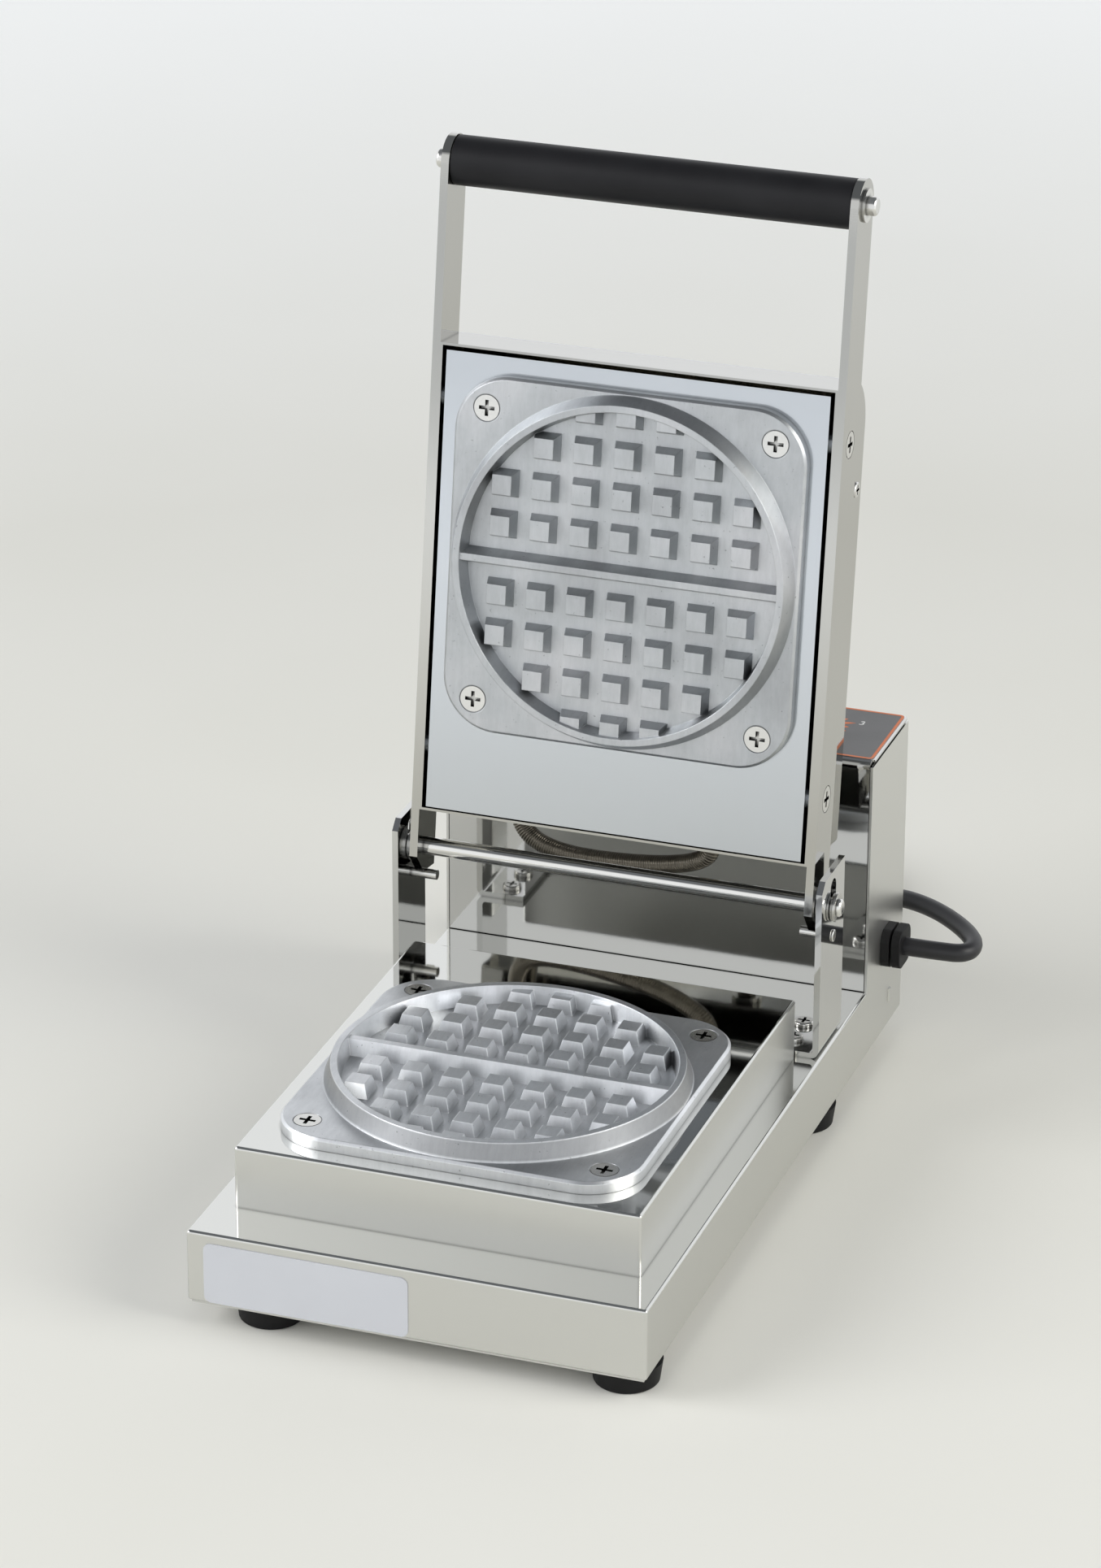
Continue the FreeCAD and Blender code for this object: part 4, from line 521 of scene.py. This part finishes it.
# Print on the top film: a border, two toothed dials and their numbers
film_low, film_high = (np.array(corner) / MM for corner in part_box("panel_overlay"))
print_thickness = 0.06
border_width = 1.4
border_corner = 2.5
points_per_corner = 9
dial_x = 62.7
dial_y = 173.3
dial_hole = 5.5
dial_radius = 21.8
tooth_tip = 24.0
spike_tip = 27.0
tooth_half_angle = 3.4
tooth_step = 12.0
outline_step = 0.5
number_radius = 30.2
number_height = 4.6
spike_angles = (18.0, -54.0, -126.0, -198.0)
zero_angle = 90.0
dials = [
    ("timer", dial_x, ("3", "6", "9", "12")),
    ("thermostat", -dial_x, ("1", "2", "3", "4")),
]


def printed(piece):
    """Lets a print ride with the base."""
    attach(piece, "base")


def flat_ring(name, outer, inner, material):
    """Thin ring on the film: up the outer outline, across the top to the inner outline, down and back
    under."""
    low = np.full((len(outer), 1), film_high[2])
    high = low + print_thickness
    edges = [(outer, low), (outer, high), (inner, high), (inner, low), (outer, low)]
    rows = np.stack([np.hstack([outline, level]) for outline, level in edges])
    printed(grid_mesh(name, rows, True, material, smooth=False))


def rounded_outline(inset):
    """Outline of the film pulled in by an inset: a quarter circle about each corner's centre in turn,
    counterclockwise from the far right one."""
    left, near = film_low[:2] + border_corner
    right, far = film_high[:2] - border_corner
    centre = np.array([[right, far], [left, far], [left, near], [right, near]])
    first = np.array([0.0, 90.0, 180.0, 270.0])
    angle = np.radians(first[:, None] + np.linspace(0.0, 90.0, points_per_corner))
    unit = np.stack([np.cos(angle), np.sin(angle)], axis=-1)
    return (centre[:, None, :] + (border_corner - inset) * unit).reshape(-1, 2)


def angle_apart(first, second):
    """Least angle between two directions, in degrees."""
    return np.abs((first - second + 180.0) % 360.0 - 180.0)


def dial_outline():
    """Circle with a pointed tooth each step, longer at numbered marks and none at zero, and its hole."""
    angle = np.arange(0.0, 360.0, outline_step)
    nearest = np.round((angle - spike_angles[0]) / tooth_step) * tooth_step + spike_angles[0]
    from_tooth = angle_apart(angle, nearest)
    rise = (tooth_tip - dial_radius) * np.clip(1 - from_tooth / tooth_half_angle, 0, 1)
    rise[angle_apart(angle, zero_angle) < tooth_step / 2] = 0
    for mark in spike_angles:
        spike = (spike_tip - dial_radius) * np.clip(1 - angle_apart(angle, mark) / tooth_half_angle, 0, 1)
        rise = np.maximum(rise, spike)
    turn = np.radians(angle)
    unit = np.column_stack([np.cos(turn), np.sin(turn)])
    return unit * (dial_radius + rise)[:, None], unit * dial_hole


def number_mesh(name, text, centre_x, centre_y):
    """Printed number: the built-in font's outline, one unit thick, scaled to the number's height and the
    print's thickness in mm and laid on the film."""
    letters = bpy.data.curves.new("letters", "FONT")
    letters.body = text
    letters.extrude = 0.5
    source = bpy.data.objects.new("letters", letters)
    mesh = bpy.data.meshes.new_from_object(source)
    bpy.data.objects.remove(source)
    bpy.data.curves.remove(letters)
    points = np.empty(3 * len(mesh.vertices))
    mesh.vertices.foreach_get("co", points)
    points = points.reshape(-1, 3)
    middle = (points.min(axis=0) + points.max(axis=0)) / 2
    scale = number_height / np.ptp(points[:, 1])
    flat = (points - middle) * [scale, scale, print_thickness]
    place = np.array([centre_x, centre_y, film_high[2] + print_thickness / 2])
    mesh.vertices.foreach_set("co", ((flat + place) * MM).ravel())
    mesh.name = name
    mesh.materials.clear()
    mesh.materials.append(print_white)
    mesh.update()
    piece = bpy.data.objects.new(name, mesh)
    bpy.context.collection.objects.link(piece)
    printed(piece)


flat_ring("overlay_border", rounded_outline(0.0), rounded_outline(border_width), print_orange)
toothed, hole = dial_outline()
for name, centre_x, numbers in dials:
    centre = np.array([centre_x, dial_y])
    flat_ring(name + "_dial_print", centre + toothed, centre + hole, print_orange)
    for angle, text in zip(np.radians(spike_angles), numbers):
        number_mesh(f"{name}_number_{text}", text, centre_x + number_radius * math.cos(angle),
                    dial_y + number_radius * math.sin(angle))


# Floor and soft studio light
def studio():
    """Pale floor that fades to a glowing white far off, two large soft lamps at the sides, and a bright
    backdrop all round under a dim ceiling."""
    floor_half = 9000.0
    fleck_width = 300.0
    fade_start = 900.0
    fade_end = 2800.0
    aim_height = 200.0
    corners = np.array([[[-1.0, -1.0, 0.0], [1.0, -1.0, 0.0]], [[-1.0, 1.0, 0.0], [1.0, 1.0, 0.0]]])
    material, tree, place = new_material("matt_paper_sweep")
    fleck = add(tree, "ShaderNodeTexNoise", Vector=place, Scale=per_mm(fleck_width), Detail=2.0)
    away = add(tree, "ShaderNodeVectorMath", output="Value", operation="LENGTH", Vector=place)
    outer = add(tree, "ShaderNodeMapRange", Value=away, From_Min=fade_start * MM, From_Max=fade_end * MM)
    near = add(tree, "ShaderNodeValToRGB", Fac=fleck,
               stops=[(0.3, linear("#e4e3db")), (0.7, linear("#e7e6df"))])
    # Painted light: the far floor turns whiter and glows
    tone = add(tree, "ShaderNodeMixRGB", Fac=outer, Color1=near, Color2=linear("#f7f8f8"))
    painted_glow = add(tree, "ShaderNodeMapRange", Value=outer, To_Min=0.0, To_Max=0.4)
    close_material(tree, Base_Color=tone, Roughness=0.9, Emission_Color=linear("#f7fafd"),
                   Emission_Strength=painted_glow)
    grid_mesh("studio_floor", corners * floor_half, False, material)
    lamps = [
        ("left", (-2400.0, -1500.0, 1800.0), 2200.0, 59.0, "#fdfdff"),
        ("right", (2700.0, -100.0, 1900.0), 2200.0, 53.0, "#fffdf8"),
    ]
    for name, spot, size, power, colour in lamps:
        data = bpy.data.lights.new(name, "AREA")
        data.shape = "DISK"
        data.size = size * MM
        data.energy = power
        data.color = linear(colour)[:3]
        lamp = bpy.data.objects.new(name, data)
        aim = Vector((-spot[0], -spot[1], aim_height - spot[2]))
        turn = aim.to_track_quat("-Z", "Y").to_matrix().to_4x4()
        lamp.matrix_world = Matrix.Translation(np.array(spot) * MM) @ turn
        bpy.context.collection.objects.link(lamp)
    scene = bpy.context.scene
    scene.view_settings.view_transform = "Standard"
    scene.world = bpy.data.worlds.new("studio_backdrop")
    scene.world.use_nodes = True
    tree = scene.world.node_tree
    tree.nodes.clear()
    heading = add(tree, "ShaderNodeTexCoord", output="Generated")
    height = add(tree, "ShaderNodeSeparateXYZ", output="Z", Vector=heading)
    backdrop = linear("#f8fafd")
    sky = add(tree, "ShaderNodeValToRGB", Fac=height,
              stops=[(0.0, backdrop), (0.5, backdrop), (0.68, linear("#6c6f73"))])
    surface = add(tree, "ShaderNodeBackground", Color=sky, Strength=1.13)
    add(tree, "ShaderNodeOutputWorld", Surface=surface)


studio()
